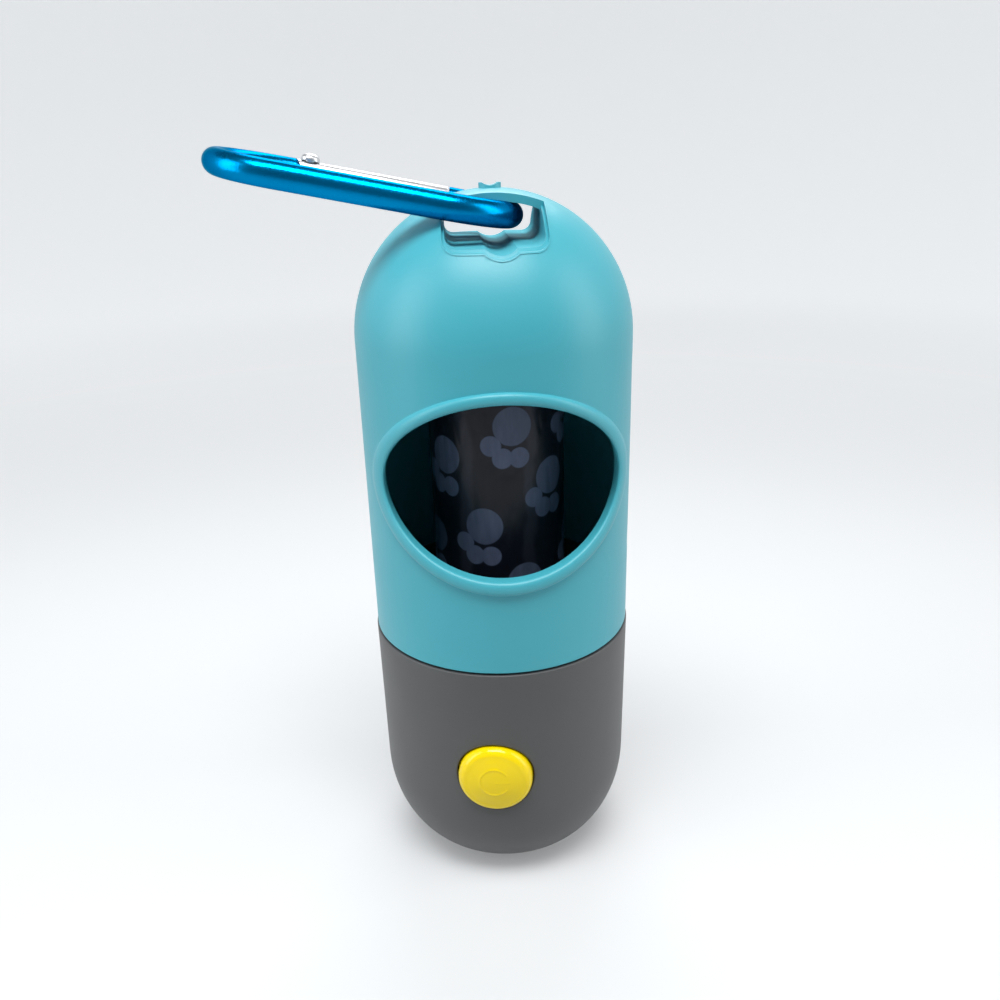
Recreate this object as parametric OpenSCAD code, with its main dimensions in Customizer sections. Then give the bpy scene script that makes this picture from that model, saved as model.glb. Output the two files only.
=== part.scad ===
// Bag dispenser for dog walks: a capsule of two halves with a roll of bags inside.
// The upper half is a shell with a window, a strap slot and a carabiner.
// The lower half is a small torch with a push button, worked by a column of button cells.
// +Z is up, the origin is the centre of the base, and the window faces -Y.

/* [Body] */
// Outer diameter of the shell
body_d = 45; // [43:0.5:52]
// Height of the closed dispenser up to the top of its dome
body_h = 118; // [114:1:140]
// Height of the joint between the torch and the shell
seam_z = 45; // [44:0.5:48]
// Wall of the shell
shell_wall = 1.6; // [1.3:0.1:2]
// Open line between the two halves
seam_gap = 0.3; // [0.2:0.05:0.5]
// How far the torch's edge stands out past the shell, on the radius
seam_step = 0.18; // [0:0.02:0.4]

/* [Window] */
// Width of the window, straight across
window_w = 36.4; // [30:0.4:37]
// Height of the window
window_h = 27.3; // [20:0.3:32]
// Distance of the window's centre below the start of the dome
window_drop = 19.5; // [17:0.5:22.5]
// Width of the raised rim
rim_w = 2.3; // [1.5:0.1:2.5]
// How far the rim stands out from the shell
rim_rise = 0.9; // [0.4:0.1:1.4]
// Steps that round the rim's edges
rim_steps = 3; // [1:1:4]

/* [Strap slot] */
// Width of the slot through the dome
slot_w = 14.6; // [13.6:0.2:16]
// Depth of the slot's floor below the top of the dome
slot_depth = 7.7; // [7.4:0.1:9]
// Radius of the slot's lower corners
slot_corner = 1.5; // [0.5:0.1:2.5]
// Step round the mouths of the slot and its hole, across and in depth
slot_lip = 0.7; // [0.4:0.1:0.8]
// Width of the bridge over the slot, front to back
bridge_w = 10.4; // [8:0.2:11]
// Thickness of the bridge
bridge_t = 1.2; // [1:0.05:1.25]
// Radius in the corners between the bridge and the slot's sides
bridge_corner = 2; // [1:0.1:3]
// Diameter of the round hole along the slot
eye_d = 6.7; // [6.5:0.1:7]
// Depth of that hole's centre below the top of the dome
eye_depth = 5.25; // [5.1:0.05:5.5]
// How far that hole stands to the right of the slot's middle
eye_shift = 0.7; // [0.4:0.05:0.9]
// Diameter of the moulding gate's stub on top of the bridge
stub_d = 3.5; // [2:0.1:4.5]
// Height of that stub
stub_h = 0.7; // [0.3:0.1:1]

/* [Torch housing] */
// Wall of the housing
torch_wall = 1.8; // [1.4:0.1:2.2]
// Radius of the flat that the dispenser stands on
base_flat_r = 9.4; // [9:0.1:11]
// Height of the rounded bottom corner
base_round_h = 17.4; // [14:0.2:18]
// How far the sides taper in from the seam to that corner
torch_taper = 0.28; // [0:0.02:0.5]
// Height of the neck inside the shell
neck_h = 6.5; // [5:0.5:8]
// Wall of the neck
neck_wall = 2.4; // [2.2:0.1:2.8]
// Clearance between the neck and the shell, on the radius
neck_clear = 0.15; // [0.1:0.05:0.25]
// Thickness of the rubber ring on the neck
seal_t = 1.6; // [1.2:0.1:1.8]
// Angle of the button from the window, about the dispenser's axis
torch_turn = -7.5; // [-30:0.5:30]

/* [Lamp] */
// Diameter of the clear lens
lens_d = 17; // [15:0.5:17]
// Thickness of the lens
lens_t = 1.4; // [1:0.1:1.6]
// Width of the base's lip under the lens
lens_lip = 1.3; // [1:0.1:1.6]
// Height of the lens's seat above the base
lens_seat_z = 1.2; // [1:0.1:1.6]
// Diameter of the light-emitting diode
led_d = 5; // [3:0.5:5]
// Thickness of the circuit boards
board_t = 1.2; // [0.8:0.1:1.6]

/* [Button] */
// Diameter of the button
button_d = 13; // [11:0.5:14]
// Height of the button's centre above the base
button_z = 25.5; // [24.5:0.5:27]
// How far the middle of the button stands out from the housing
button_out = 2; // [1.6:0.1:2.5]
// Travel of the button
button_travel = 1; // [0.6:0.1:1.2]
// Clearance round the button, on the radius
button_clear = 0.2; // [0.1:0.05:0.3]

/* [Cells] */
// Diameter of a button cell
cell_d = 11.6; // [9.5:0.1:11.6]
// Height of a button cell
cell_h = 5.4; // [4.2:0.1:5.4]

/* [Roll of bags] */
// Diameter of a full roll
roll_d = 23.2; // [20:0.2:28]
// Free space between the roll and the slot's floor
roll_gap = 5.4; // [4:0.2:12]
// Outer diameter of the cardboard core
core_d = 14; // [13:0.2:16]
// Wall of the core
core_wall = 0.8; // [0.5:0.1:1]

/* [Carabiner] */
// Diameter of the bar
bar_d = 4; // [3.6:0.1:4]
// Overall length
loop_l = 48.8; // [46:0.2:56]
// Overall width
loop_w = 25.4; // [24.6:0.2:28]
// Length of the gate from its rivet to its tip
gate_l = 22.5; // [21:0.5:23]
// Place of the bar's end, out from the middle of the slot
bar_rest_x = 3.1; // [2.8:0.1:3.3]
// Clearance between the bar and the dome that it lies on
bar_clear = 0.12; // [0.1:0.02:0.3]

/* [Hidden] */

$fn = 96;
fit = 0.3;      // gap between pieces that are dropped into place
running = 0.05; // gap on the radius where a pin turns or slides
eps = 0.01;     // overrun of a cut

// Body
body_r = body_d / 2;
shell_in_r = body_r - shell_wall;
dome_z = body_h - body_r; // centre of the dome's sphere
shell_z = seam_z + seam_gap;
window_z = dome_z - window_drop;

// Strap slot
slot_floor_z = body_h - slot_depth;
eye_z = body_h - eye_depth;

// Torch housing
seam_r = body_r + seam_step;
round_r = seam_r - torch_taper;
round_steps = 28;
neck_r = shell_in_r - neck_clear;
neck_in_r = neck_r - neck_wall;
neck_z = seam_z + neck_h;
shoulder_t = 2; // thickness of the ledge between the wall and the neck
inside_r = round_r - torch_wall;
seal_z = seam_z + neck_h / 2;
seal_ring_r = shell_in_r - running - seal_t / 2;
groove_r = seal_ring_r - seal_t / 2 - running;

// Lamp, from the base up
lens_r = lens_d / 2;
lamp_wall = 1.6;
lamp_tube_r = lens_r + fit + lamp_wall;
lens_top = lens_seat_z + lens_t;
mirror_z = lens_top + fit;
mirror_h = 9;
mirror_wall = 0.8;
mirror_neck_r = led_d / 2 + 0.5;
mirror_collar = 2; // length of the sleeve round the diode
bowl_r = lens_r - 1.6;
bowl_steps = 8;
led_board_z = mirror_z + mirror_h + fit;
led_board_top = led_board_z + board_t;
led_h = 8.6;
lead_gap = 2.54;
lead_w = 0.5;

// Frame that holds the cells and the switch
frame_z = led_board_top + fit;
frame_t = 1.4;
tub_wall = 1.2;
tub_in_r = cell_d / 2 + fit;
tub_r = tub_in_r + tub_wall;
cover_t = 2;
cover_z = seam_z - 1;
cover_top = cover_z + cover_t;
contact_t = 0.3;
cell_top = cover_z - contact_t - fit;
cell_z = cell_top - 3 * cell_h;
spring_h = 2.4;
spring_wire = 0.5;
spring_turns = 3;
spring_r = cell_d / 2 - 1.2;
tub_floor_t = 1.2;
tub_floor_z = cell_z - fit - spring_h - tub_floor_t;

// Wires from the lamp to the switch and to the cells' spring
wire_d = 0.9;
red_x = 1.2;
red_z = frame_z + frame_t + 2.5; // where the red wire leaves the tub
black_x = spring_r - 0.3;
wire_in = 2.6; // how far off the middle the wires leave the lamp's board

// Screws that hold the cover
boss_count = 3;
boss_d = 4.8;
screw_d = 2;
screw_head_d = 3.6;
screw_head_h = 1.1;
screw_l = 6;
cover_r = neck_in_r - fit / 2;
cover_edge = 0.5; // material between a screw's head and the cover's edge
boss_ring_r = cover_r - cover_edge - screw_head_d / 2 - 0.2;
frame_r = boss_ring_r - boss_d / 2 - fit;

// Switch, measured out from the dispenser's axis
switch_board_out = tub_r + 1.5;
switch_board_w = 10;
switch_board_h = 14;
switch_w = 8;
plunger_d = 3.2;
plunger_in = 1.2;   // length of the plunger inside the switch
plunger_free = 2.5; // and outside it
flange_t = 1;
flange_r = button_d / 2 + 1.1;
flange_out = sqrt(pow(inside_r, 2) - pow(flange_r, 2)) - fit;
plunger_out = flange_out - flange_t - fit;
switch_front = plunger_out - plunger_free;
button_wall = 1.2;
button_dome = 0.7; // crown of the button's face
button_edge = 1.1; // radius of the button's edge
cheek_t = 1.4; // the frame's grooved posts at the board's sides

// Spigot that the roll turns on
core_in_r = core_d / 2 - core_wall;
spigot_r = core_in_r - 0.6;
spigot_h = 8;
roll_z = cover_top + fit;
roll_h = slot_floor_z - shell_wall - roll_gap - roll_z;

// Carabiner: its own frame has x along the loop, y across it and z square to it
bar_r = bar_d / 2;
half_w = loop_w / 2 - bar_r;
half_l = loop_l / 2 - bar_r;
arc_x = half_l - half_w;
bar_rest_rise = 1.15; // height of the bar's end above the middle of the slot's hole
bar_rest_z = eye_z + bar_rest_rise;
mouth_x = slot_w / 2 + slot_lip;
touch_r = body_r + bar_r + bar_clear;
mouth_h = sqrt(pow(touch_r, 2) - pow(mouth_x, 2) - pow(half_w, 2));
loop_lean = atan((mouth_h - bar_rest_z + dome_z) / (mouth_x + bar_rest_x));
loop_x = bar_rest_x - half_l * cos(loop_lean);
loop_z = bar_rest_z + half_l * sin(loop_lean);
rivet_r = 0.8;
rivet_head_r = 1.5;
rivet_head_h = 1.1;
rivet_edge_h = 0.35; // height of the head's straight edge
rivet_x = -arc_x + 1.5;
tip_x = rivet_x + gate_l;
lap_l = 3;
lap_z = 0.3;  // height of the gate's half of the lap above the bar's middle
tongue_t = 1.4;
tongue_r = bar_r - 0.1; // round end of the tongue, about the rivet
tongue_flat = 0.15;     // depth of the flat that holds the gate shut
fork_gap = tongue_t + 2 * running + 0.1;
fork_x = rivet_x + bar_r + fit; // floor of the fork
plunger_bore = 1.7;
plunger_bore_l = 9;
gate_plunger_l = 3;

// Points of an ellipse with half axes a and b
function ellipse(a, b, n) = [for (i = [0 : n - 1]) [a * cos(360 * i / n), b * sin(360 * i / n)]];

// Points of an arc about (x, y), from one angle to another
function arc_points(x, y, r, from, to, n) = [for (i = [0 : n]) let (a = from + (to - from) * i / n)
    [x + r * cos(a), y + r * sin(a)]];

// Points of the rounded bottom corner, taken in by a wall
function bottom_curve(wall) = [for (i = [0 : round_steps]) let (t = 90 * i / round_steps)
    [base_flat_r + (round_r - wall - base_flat_r) * sin(t), wall + (base_round_h - wall) * (1 - cos(t))]];

function unit(v) = v / norm(v);

// Points with each corner rounded, from a cut before it to a cut after it
function rounded(points, cut, steps = 5) = let (last = len(points) - 1) [
    points[0],
    for (i = [1 : last - 1])
        let (p = points[i], a = p + cut * unit(points[i - 1] - p), b = p + cut * unit(points[i + 1] - p))
        for (j = [0 : steps]) let (t = j / steps) (1 - t) * (1 - t) * a + 2 * t * (1 - t) * p + t * t * b,
    points[last]];

// Rings and faces of a round wire along points
function side(v) = let (a = cross(v, [0, 0, 1])) norm(a) < 0.001 ? [-1, 0, 0] : a / norm(a);
function ring_at(p, v, r, n) = let (s = side(v), u = cross(s, v))
    [for (i = [0 : n - 1]) p + r * (cos(360 * i / n) * s + sin(360 * i / n) * u)];
function heading(path, i) = unit(path[min(i + 1, len(path) - 1)] - path[max(i - 1, 0)]);

module wire(path, d, sides = 8) {
    count = len(path);
    points = [for (i = [0 : count - 1]) each ring_at(path[i], heading(path, i), d / 2, sides)];
    walls = [for (i = [0 : count - 2], j = [0 : sides - 1])
        [i * sides + j, (i + 1) * sides + j, (i + 1) * sides + (j + 1) % sides, i * sides + (j + 1) % sides]];
    start = [for (j = [0 : sides - 1]) j];
    end = [for (j = [sides - 1 : -1 : 0]) (count - 1) * sides + j];
    polyhedron(points, concat(walls, [start, end]));
}

// A tube standing on z = 0
module tube(r, bore_r, h) {
    difference() {
        cylinder(r = r, h = h);
        translate([0, 0, -eps]) cylinder(r = bore_r, h = h + 2 * eps);
    }
}

// The torch is turned about the dispenser's axis
module in_torch() {
    rotate([0, 0, torch_turn]) children();
}

// z runs out through the button, y is up
module along_button() {
    in_torch() translate([0, 0, button_z]) rotate([90, 0, 0]) children();
}

module at_bosses() {
    for (i = [0 : boss_count - 1]) rotate([0, 0, 90 + 360 * i / boss_count])
        translate([boss_ring_r, 0, 0]) children();
}

module in_loop() {
    translate([loop_x, 0, loop_z]) rotate([0, loop_lean, 0]) children();
}

// ---- Torch ----

module housing_outside() {
    rotate_extrude() polygon(concat([[0, 0]], bottom_curve(0),
        [[seam_r, seam_z], [neck_r, seam_z], [neck_r, neck_z], [0, neck_z]]));
}

module housing_inside() {
    rotate_extrude() polygon(concat([[0, torch_wall]], bottom_curve(torch_wall),
        [[inside_r, seam_z - shoulder_t], [neck_in_r, seam_z - shoulder_t],
         [neck_in_r, neck_z + eps], [0, neck_z + eps]]));
}

module torch_housing() {
    color("dimgray") in_torch() difference() {
        union() {
            difference() {
                housing_outside();
                housing_inside();
            }
            intersection() {
                housing_outside();
                union() {
                    tube(lamp_tube_r, lens_r + fit, frame_z);
                    at_bosses() cylinder(d = boss_d, h = cover_z);
                }
            }
        }
        // opening under the lens, and the lens's seat
        translate([0, 0, -eps]) cylinder(r = lens_r - lens_lip, h = torch_wall + 1);
        translate([0, 0, lens_seat_z]) cylinder(r = lens_r + fit, h = torch_wall + 1);
        // pilot holes for the cover's screws
        at_bosses() translate([0, 0, cover_z - screw_l]) cylinder(d = screw_d - 0.3, h = screw_l + 1);
        // hole for the button
        translate([0, 0, button_z]) rotate([90, 0, 0])
            cylinder(r = button_d / 2 + button_clear, h = body_d);
        // groove for the rubber ring
        translate([0, 0, seal_z - seal_t / 2 - running]) difference() {
            cylinder(r = body_r, h = seal_t + 2 * running);
            cylinder(r = groove_r, h = seal_t + 2 * running);
        }
    }
}

module lens() {
    face_z = lens_seat_z - 0.5;
    color("aliceblue", 0.5) rotate_extrude() polygon([
        [0, face_z], [lens_r - lens_lip - 1, face_z], [lens_r - lens_lip - fit, lens_seat_z],
        [lens_r, lens_seat_z], [lens_r, lens_top], [0, lens_top]]);
}

// Points of the reflector's bowl, a parabola from its mouth to its neck
function bowl_curve(wall) = [for (i = [0 : bowl_steps])
    let (r = bowl_r + (mirror_neck_r - bowl_r) * i / bowl_steps,
         up = (bowl_r * bowl_r - r * r) / (bowl_r * bowl_r - mirror_neck_r * mirror_neck_r))
    [r + wall, mirror_z + (mirror_h - mirror_collar) * up]];

module reflector() {
    inner = bowl_curve(0);
    outer = bowl_curve(mirror_wall);
    neck_top = mirror_z + mirror_h;
    color("silver") rotate_extrude() polygon(concat(
        [[bowl_r, mirror_z], [lens_r, mirror_z], [lens_r, mirror_z + mirror_wall]],
        [for (i = [1 : bowl_steps]) outer[i]],
        [[mirror_neck_r + mirror_wall, neck_top], [mirror_neck_r, neck_top]],
        [for (i = [bowl_steps : -1 : 1]) inner[i]]));
}

module led() {
    leads_z = led_board_z - eps;
    color("lemonchiffon") in_torch() {
        translate([0, 0, led_board_z - led_h + led_d / 2]) sphere(d = led_d);
        translate([0, 0, led_board_z - led_h + led_d / 2]) cylinder(d = led_d, h = led_h - led_d / 2);
        for (x = [-1, 1]) translate([x * lead_gap / 2 - lead_w / 2, -lead_w / 2, leads_z])
            cube([lead_w, lead_w, board_t + 0.8]);
    }
}

module led_board() {
    color("seagreen") in_torch() difference() {
        translate([0, 0, led_board_z]) cylinder(r = lens_r, h = board_t);
        for (x = [-1, 1]) translate([x * lead_gap / 2, 0, led_board_z - eps])
            cylinder(d = lead_w * 1.5 + 0.2, h = board_t + 2 * eps, $fn = 24);
    }
}

module cell_frame() {
    groove = board_t + 2 * 0.15;
    post_depth = groove + 2 * cheek_t;
    post_y = -(switch_board_out + board_t / 2 + post_depth / 2);
    post_h = button_z + switch_board_h / 2 - frame_z;
    color("gainsboro") in_torch() difference() {
        union() {
            translate([0, 0, frame_z]) cylinder(r = frame_r, h = frame_t);
            translate([0, 0, frame_z]) cylinder(r = tub_r, h = cover_z - fit - frame_z);
            // grooved posts that hold the switch's board
            for (s = [-1, 1]) translate([s * (switch_board_w / 2 - 0.4) - (s < 0 ? 2 * cheek_t : 0), post_y, frame_z])
                cube([2 * cheek_t, post_depth, post_h]);
        }
        translate([0, 0, tub_floor_z + tub_floor_t]) cylinder(r = tub_in_r, h = body_h);
        translate([0, 0, frame_z - eps]) cylinder(r = tub_in_r, h = tub_floor_z - frame_z + eps);
        // slot that takes the board from above
        translate([-switch_board_w / 2 - fit, -(switch_board_out + board_t + 0.15), button_z - switch_board_h / 2])
            cube([switch_board_w + 2 * fit, groove, switch_board_h + 1]);
        // window for the red wire, and a hole for the black one
        translate([-2, -tub_r - 1, red_z - 1.5]) cube([4, tub_r, 3]);
        translate([black_x, 0, tub_floor_z - eps]) cylinder(d = wire_d + 0.2, h = tub_floor_t + 2 * eps, $fn = 32);
    }
}

module switch_board() {
    color("seagreen") along_button() translate([-switch_board_w / 2, -switch_board_h / 2, switch_board_out])
        cube([switch_board_w, switch_board_h, board_t]);
}

module switch_body() {
    bore = plunger_in + button_travel + 0.2;
    back = switch_board_out + board_t;
    color("black") along_button() difference() {
        translate([-switch_w / 2, -switch_w / 2, back]) cube([switch_w, switch_w, switch_front - back]);
        translate([0, 0, switch_front - bore]) cylinder(d = plunger_d + 2 * running, h = bore + eps);
    }
}

module switch_plunger() {
    color("ivory") along_button() translate([0, 0, switch_front - plunger_in])
        cylinder(d = plunger_d, h = plunger_in + plunger_free);
}

module button_cap() {
    side_r = button_d / 2;
    face_out = body_r + button_out;
    rim_r = side_r - button_edge;
    dome_r = (rim_r * rim_r + button_dome * button_dome) / (2 * button_dome);
    edge_out = face_out - button_dome - button_edge;
    back_out = flange_out - flange_t;
    color("gold") along_button() {
        rotate_extrude() polygon(concat(
            arc_points(0, face_out - dome_r, dome_r, 90, 90 - asin(rim_r / dome_r), 10),
            arc_points(rim_r, edge_out, button_edge, 80, 0, 8),
            [[side_r, flange_out], [flange_r, flange_out], [flange_r, back_out],
             [side_r - button_wall, back_out], [side_r - button_wall, edge_out - button_wall / 2],
             [0, edge_out - button_wall / 2]]));
        // post that presses the switch
        translate([0, 0, back_out]) cylinder(d = plunger_d + 1, h = edge_out - back_out);
    }
}

module button_cell(level) {
    step = 0.8; // the can's rolled edge round the negative face
    color("silver") translate([0, 0, cell_z + level * cell_h]) {
        cylinder(r = cell_d / 2 - step, h = cell_h * 0.2);
        translate([0, 0, cell_h * 0.15]) cylinder(r = cell_d / 2, h = cell_h * 0.85);
    }
}

module button_cell_1() {
    button_cell(0);
}

module button_cell_2() {
    button_cell(1);
}

module button_cell_3() {
    button_cell(2);
}

module cell_spring() {
    steps = 16;
    high_r = 2;
    from_z = tub_floor_z + tub_floor_t + spring_wire / 2 + running;
    rise = spring_h - spring_wire;
    color("goldenrod") wire([for (i = [0 : steps * spring_turns])
        let (t = i / (steps * spring_turns), r = spring_r + (high_r - spring_r) * t, a = 360 * i / steps)
        [r * cos(a), r * sin(a), from_z + rise * t]], spring_wire);
}

module contact_plate() {
    arm_w = 3;
    arm_out = switch_board_out - 0.4; // outer side of the arm that runs down to the switch's board
    arm_z = button_z + switch_board_h / 2 - 2;
    color("goldenrod") in_torch() {
        translate([0, 0, cover_z - contact_t]) cylinder(r = tub_in_r - fit - 0.2, h = contact_t);
        translate([0, 0, cover_z - contact_t - 0.2]) cylinder(r = 1.5, h = 0.3);
        translate([-arm_w / 2, -arm_out, cover_z - contact_t]) cube([arm_w, arm_out - arm_w, contact_t]);
        translate([-arm_w / 2, -arm_out, arm_z]) cube([arm_w, contact_t, cover_z - arm_z]);
    }
}

module red_wire() {
    up_y = -(switch_board_out - wire_d / 2 - running);
    color("red") in_torch() wire(rounded([
        [red_x, -wire_in, led_board_top + running], [red_x, -wire_in, red_z],
        [red_x, up_y, red_z], [red_x, up_y, button_z - 4]], 1.4), wire_d);
}

module black_wire() {
    bend_z = (led_board_top + tub_floor_z) / 2;
    color("black") in_torch() wire(rounded([
        [black_x, wire_in, led_board_top + running], [black_x, wire_in, bend_z - 1.5],
        [black_x, 0, bend_z + 1.5], [black_x, 0, tub_floor_z + tub_floor_t]], 1.2), wire_d);
}

module battery_cover() {
    color("gray") in_torch() {
        difference() {
            translate([0, 0, cover_z]) cylinder(r = cover_r, h = cover_t);
            at_bosses() translate([0, 0, cover_z - 1]) cylinder(d = screw_d + 0.4, h = cover_t + 2);
            at_bosses() translate([0, 0, cover_top - screw_head_h]) cylinder(d = screw_head_d + 0.4, h = cover_t);
        }
        translate([0, 0, cover_top - eps]) difference() {
            union() {
                cylinder(r = spigot_r, h = spigot_h - 1);
                translate([0, 0, spigot_h - 1]) cylinder(r1 = spigot_r, r2 = spigot_r - 1, h = 1);
            }
            translate([0, 0, -eps]) cylinder(r = spigot_r - 1.4, h = spigot_h + 1);
        }
    }
}

module cover_screws() {
    color("lightgray") in_torch() at_bosses() {
        translate([0, 0, cover_z - screw_l + 0.5]) cylinder(d = screw_d - 0.4, h = screw_l + cover_t - screw_head_h);
        translate([0, 0, cover_top - screw_head_h]) difference() {
            cylinder(d = screw_head_d, h = screw_head_h);
            for (a = [0, 90]) rotate([0, 0, a]) translate([-1.1, -0.25, screw_head_h - 0.6]) cube([2.2, 0.5, 1]);
        }
    }
}

module neck_seal() {
    color("black") translate([0, 0, seal_z]) rotate_extrude()
        translate([seal_ring_r, 0]) circle(d = seal_t, $fn = 32);
}

// ---- Shell ----

// A prism of the window's outline, grown on all sides, towards -Y
module window_prism(grow) {
    translate([0, 0, window_z]) rotate([90, 0, 0]) linear_extrude(body_d)
        polygon(ellipse(window_w / 2 + grow, window_h / 2 + grow, 72));
}

module capsule(r) {
    translate([0, 0, dome_z]) sphere(r = r, $fn = 200);
    translate([0, 0, shell_z]) cylinder(r = r, h = dome_z - shell_z);
}

// Section of the slot, drawn with its floor on y = 0
module slot_section(w, corner) {
    translate([-w / 2 + corner, 0]) square([w - 2 * corner, body_r]);
    translate([-w / 2, corner]) square([w, body_r]);
    for (s = [-1, 1]) translate([s * (w / 2 - corner), corner]) circle(r = corner, $fn = 48);
}

module slot_prism(w, floor_z, corner) {
    translate([0, body_r + 5, floor_z]) rotate([90, 0, 0]) linear_extrude(body_d + 10)
        slot_section(w, corner);
}

// The round hole along the slot, grown on its radius
module eye(grow) {
    translate([eye_shift, body_r, eye_z]) rotate([90, 0, 0]) cylinder(d = eye_d + 2 * grow, h = body_d);
}

// Plan of the bridge: a band across the slot with rounded inside corners
module bridge_plan() {
    w = slot_w + 2 * slot_lip;
    reach = bridge_w / 2 + bridge_corner;
    difference() {
        square([w + 1, 2 * reach], center = true);
        for (s = [-1, 1]) scale([1, s]) {
            translate([-w / 2 + bridge_corner, bridge_w / 2]) square([w - 2 * bridge_corner, bridge_corner + 1]);
            for (q = [-1, 1]) translate([q * (w / 2 - bridge_corner), reach]) circle(r = bridge_corner, $fn = 48);
        }
    }
}

module shell_skin() {
    difference() {
        union() {
            capsule(body_r);
            for (i = [0 : rim_steps - 1]) let (t = 90 * (i + 1) / rim_steps) intersection() {
                translate([0, 0, shell_z]) cylinder(r = body_r + rim_rise * sin(t), h = body_h);
                window_prism(rim_w - rim_rise * (1 - sin(90 - 90 * i / rim_steps)));
            }
        }
        capsule(shell_in_r);
        translate([0, 0, shell_z - eps]) cylinder(r = shell_in_r, h = 1);
    }
}

module upper_shell() {
    box_w = slot_w + 2 * shell_wall;
    box_z = slot_floor_z - shell_wall;
    color("mediumturquoise") difference() {
        union() {
            difference() {
                union() {
                    shell_skin();
                    intersection() {
                        capsule(body_r);
                        translate([-box_w / 2, -body_r, box_z]) cube([box_w, body_d, body_r]);
                    }
                }
                slot_prism(slot_w, slot_floor_z, slot_corner);
                difference() {
                    union() {
                        slot_prism(slot_w + 2 * slot_lip, slot_floor_z - slot_lip, slot_corner + slot_lip);
                        eye(slot_lip);
                    }
                    translate([0, 0, dome_z]) sphere(r = body_r - slot_lip, $fn = 200);
                }
            }
            difference() {
                intersection() {
                    difference() {
                        capsule(body_r);
                        capsule(body_r - bridge_t);
                    }
                    translate([0, 0, slot_floor_z]) linear_extrude(body_r) bridge_plan();
                }
                eye(slot_lip);
            }
            translate([0, 0, body_h - 1]) cylinder(d = stub_d, h = 1 + stub_h, $fn = 48);
        }
        window_prism(0);
        eye(0);
        translate([0, 0, body_h + stub_h + 0.9]) sphere(r = 1.2, $fn = 48);
    }
}

// ---- Roll of bags ----

module roll_core() {
    color("tan") translate([0, 0, roll_z]) tube(core_d / 2, core_in_r, roll_h);
}

module bag_film() {
    edge = 0.8;
    color([0.1, 0.1, 0.13]) translate([0, 0, roll_z]) rotate_extrude() polygon([
        [core_d / 2 + 0.02, 0.5], [roll_d / 2 - edge, 0.2], [roll_d / 2, 0.2 + edge],
        [roll_d / 2, roll_h - 0.2 - edge], [roll_d / 2 - edge, roll_h - 0.2], [core_d / 2 + 0.02, roll_h - 0.5]]);
}

// ---- Carabiner ----

// Half of the loop, an arc at one end
module loop_end(side) {
    translate([side * arc_x, 0, 0]) rotate([0, 0, side > 0 ? -90 : 90])
        rotate_extrude(angle = 180) translate([half_w, 0]) circle(r = bar_r, $fn = 48);
}

module straight_bar(from_x, to_x, y) {
    translate([from_x, y, 0]) rotate([0, 90, 0]) cylinder(r = bar_r, h = to_x - from_x, $fn = 48);
}

module carabiner_body() {
    swing_r = bar_r + fit;
    far = 2 * bar_r;
    color("dodgerblue") in_loop() difference() {
        union() {
            loop_end(1);
            loop_end(-1);
            straight_bar(-arc_x, arc_x, -half_w);
            straight_bar(tip_x - lap_l + fit, arc_x, half_w);
            // tongue that the gate's fork straddles, rounded about the rivet
            intersection() {
                straight_bar(-arc_x, rivet_x + bar_r, half_w);
                union() {
                    translate([-arc_x - 1, half_w - far, -far]) cube([rivet_x + arc_x + 1, 2 * far, 2 * far]);
                    translate([rivet_x, half_w, -far]) cylinder(r = tongue_r, h = 2 * far, $fn = 48);
                }
            }
        }
        translate([rivet_x + tongue_r - tongue_flat, half_w - far, -far]) cube([1, 2 * far, 2 * far]);
        // room for the fork to turn, above and below the tongue
        for (s = [-1, 1]) translate([rivet_x, half_w, s * (tongue_t / 2 + bar_r)])
            cylinder(r = swing_r, h = 2 * bar_r, center = true, $fn = 48);
        translate([rivet_x, half_w, -far]) cylinder(r = rivet_r + running, h = 2 * far, $fn = 32);
        // the nose's half of the lap
        translate([tip_x - lap_l, half_w - far, lap_z - fit / 2]) cube([lap_l + fit, 2 * far, far]);
    }
}

module gate_rivet() {
    color("silver") in_loop() translate([rivet_x, half_w, 0]) {
        cylinder(r = rivet_r, h = 2 * bar_r + 4 * running, center = true, $fn = 32);
        for (s = [0, 180]) rotate([s, 0, 0]) translate([0, 0, bar_r + running])
            union() {
                cylinder(r = rivet_head_r, h = rivet_edge_h, $fn = 32);
                translate([0, 0, rivet_edge_h])
                    cylinder(r1 = rivet_head_r, r2 = rivet_head_r / 2, h = rivet_head_h - rivet_edge_h, $fn = 32);
            }
    }
}

module carabiner_gate() {
    far = 2 * bar_r;
    color("whitesmoke") in_loop() difference() {
        intersection() {
            straight_bar(rivet_x - bar_r, tip_x, half_w);
            union() {
                translate([rivet_x, half_w, -far]) cylinder(r = bar_r, h = 2 * far, $fn = 48);
                translate([rivet_x, half_w - far, -far]) cube([gate_l + 1, 2 * far, 2 * far]);
            }
        }
        // the fork
        translate([rivet_x - far, half_w - far, -fork_gap / 2]) cube([fork_x - rivet_x + far, 2 * far, fork_gap]);
        // bore for the plunger and its spring
        translate([fork_x - eps, half_w, 0]) rotate([0, 90, 0])
            cylinder(d = plunger_bore, h = plunger_bore_l + eps, $fn = 32);
        translate([rivet_x, half_w, -far]) cylinder(r = rivet_r + running, h = 2 * far, $fn = 32);
        // the gate's half of the lap
        translate([tip_x - lap_l, half_w - far, -far]) cube([lap_l + 1, 2 * far, far + lap_z]);
    }
}

module gate_plunger() {
    round_l = 0.3;
    r = plunger_bore / 2 - running;
    color("silver") in_loop() translate([rivet_x + tongue_r + running, half_w, 0]) rotate([0, 90, 0]) {
        cylinder(r1 = r - round_l, r2 = r, h = round_l, $fn = 32);
        translate([0, 0, round_l]) cylinder(r = r, h = gate_plunger_l - round_l, $fn = 32);
    }
}

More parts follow.
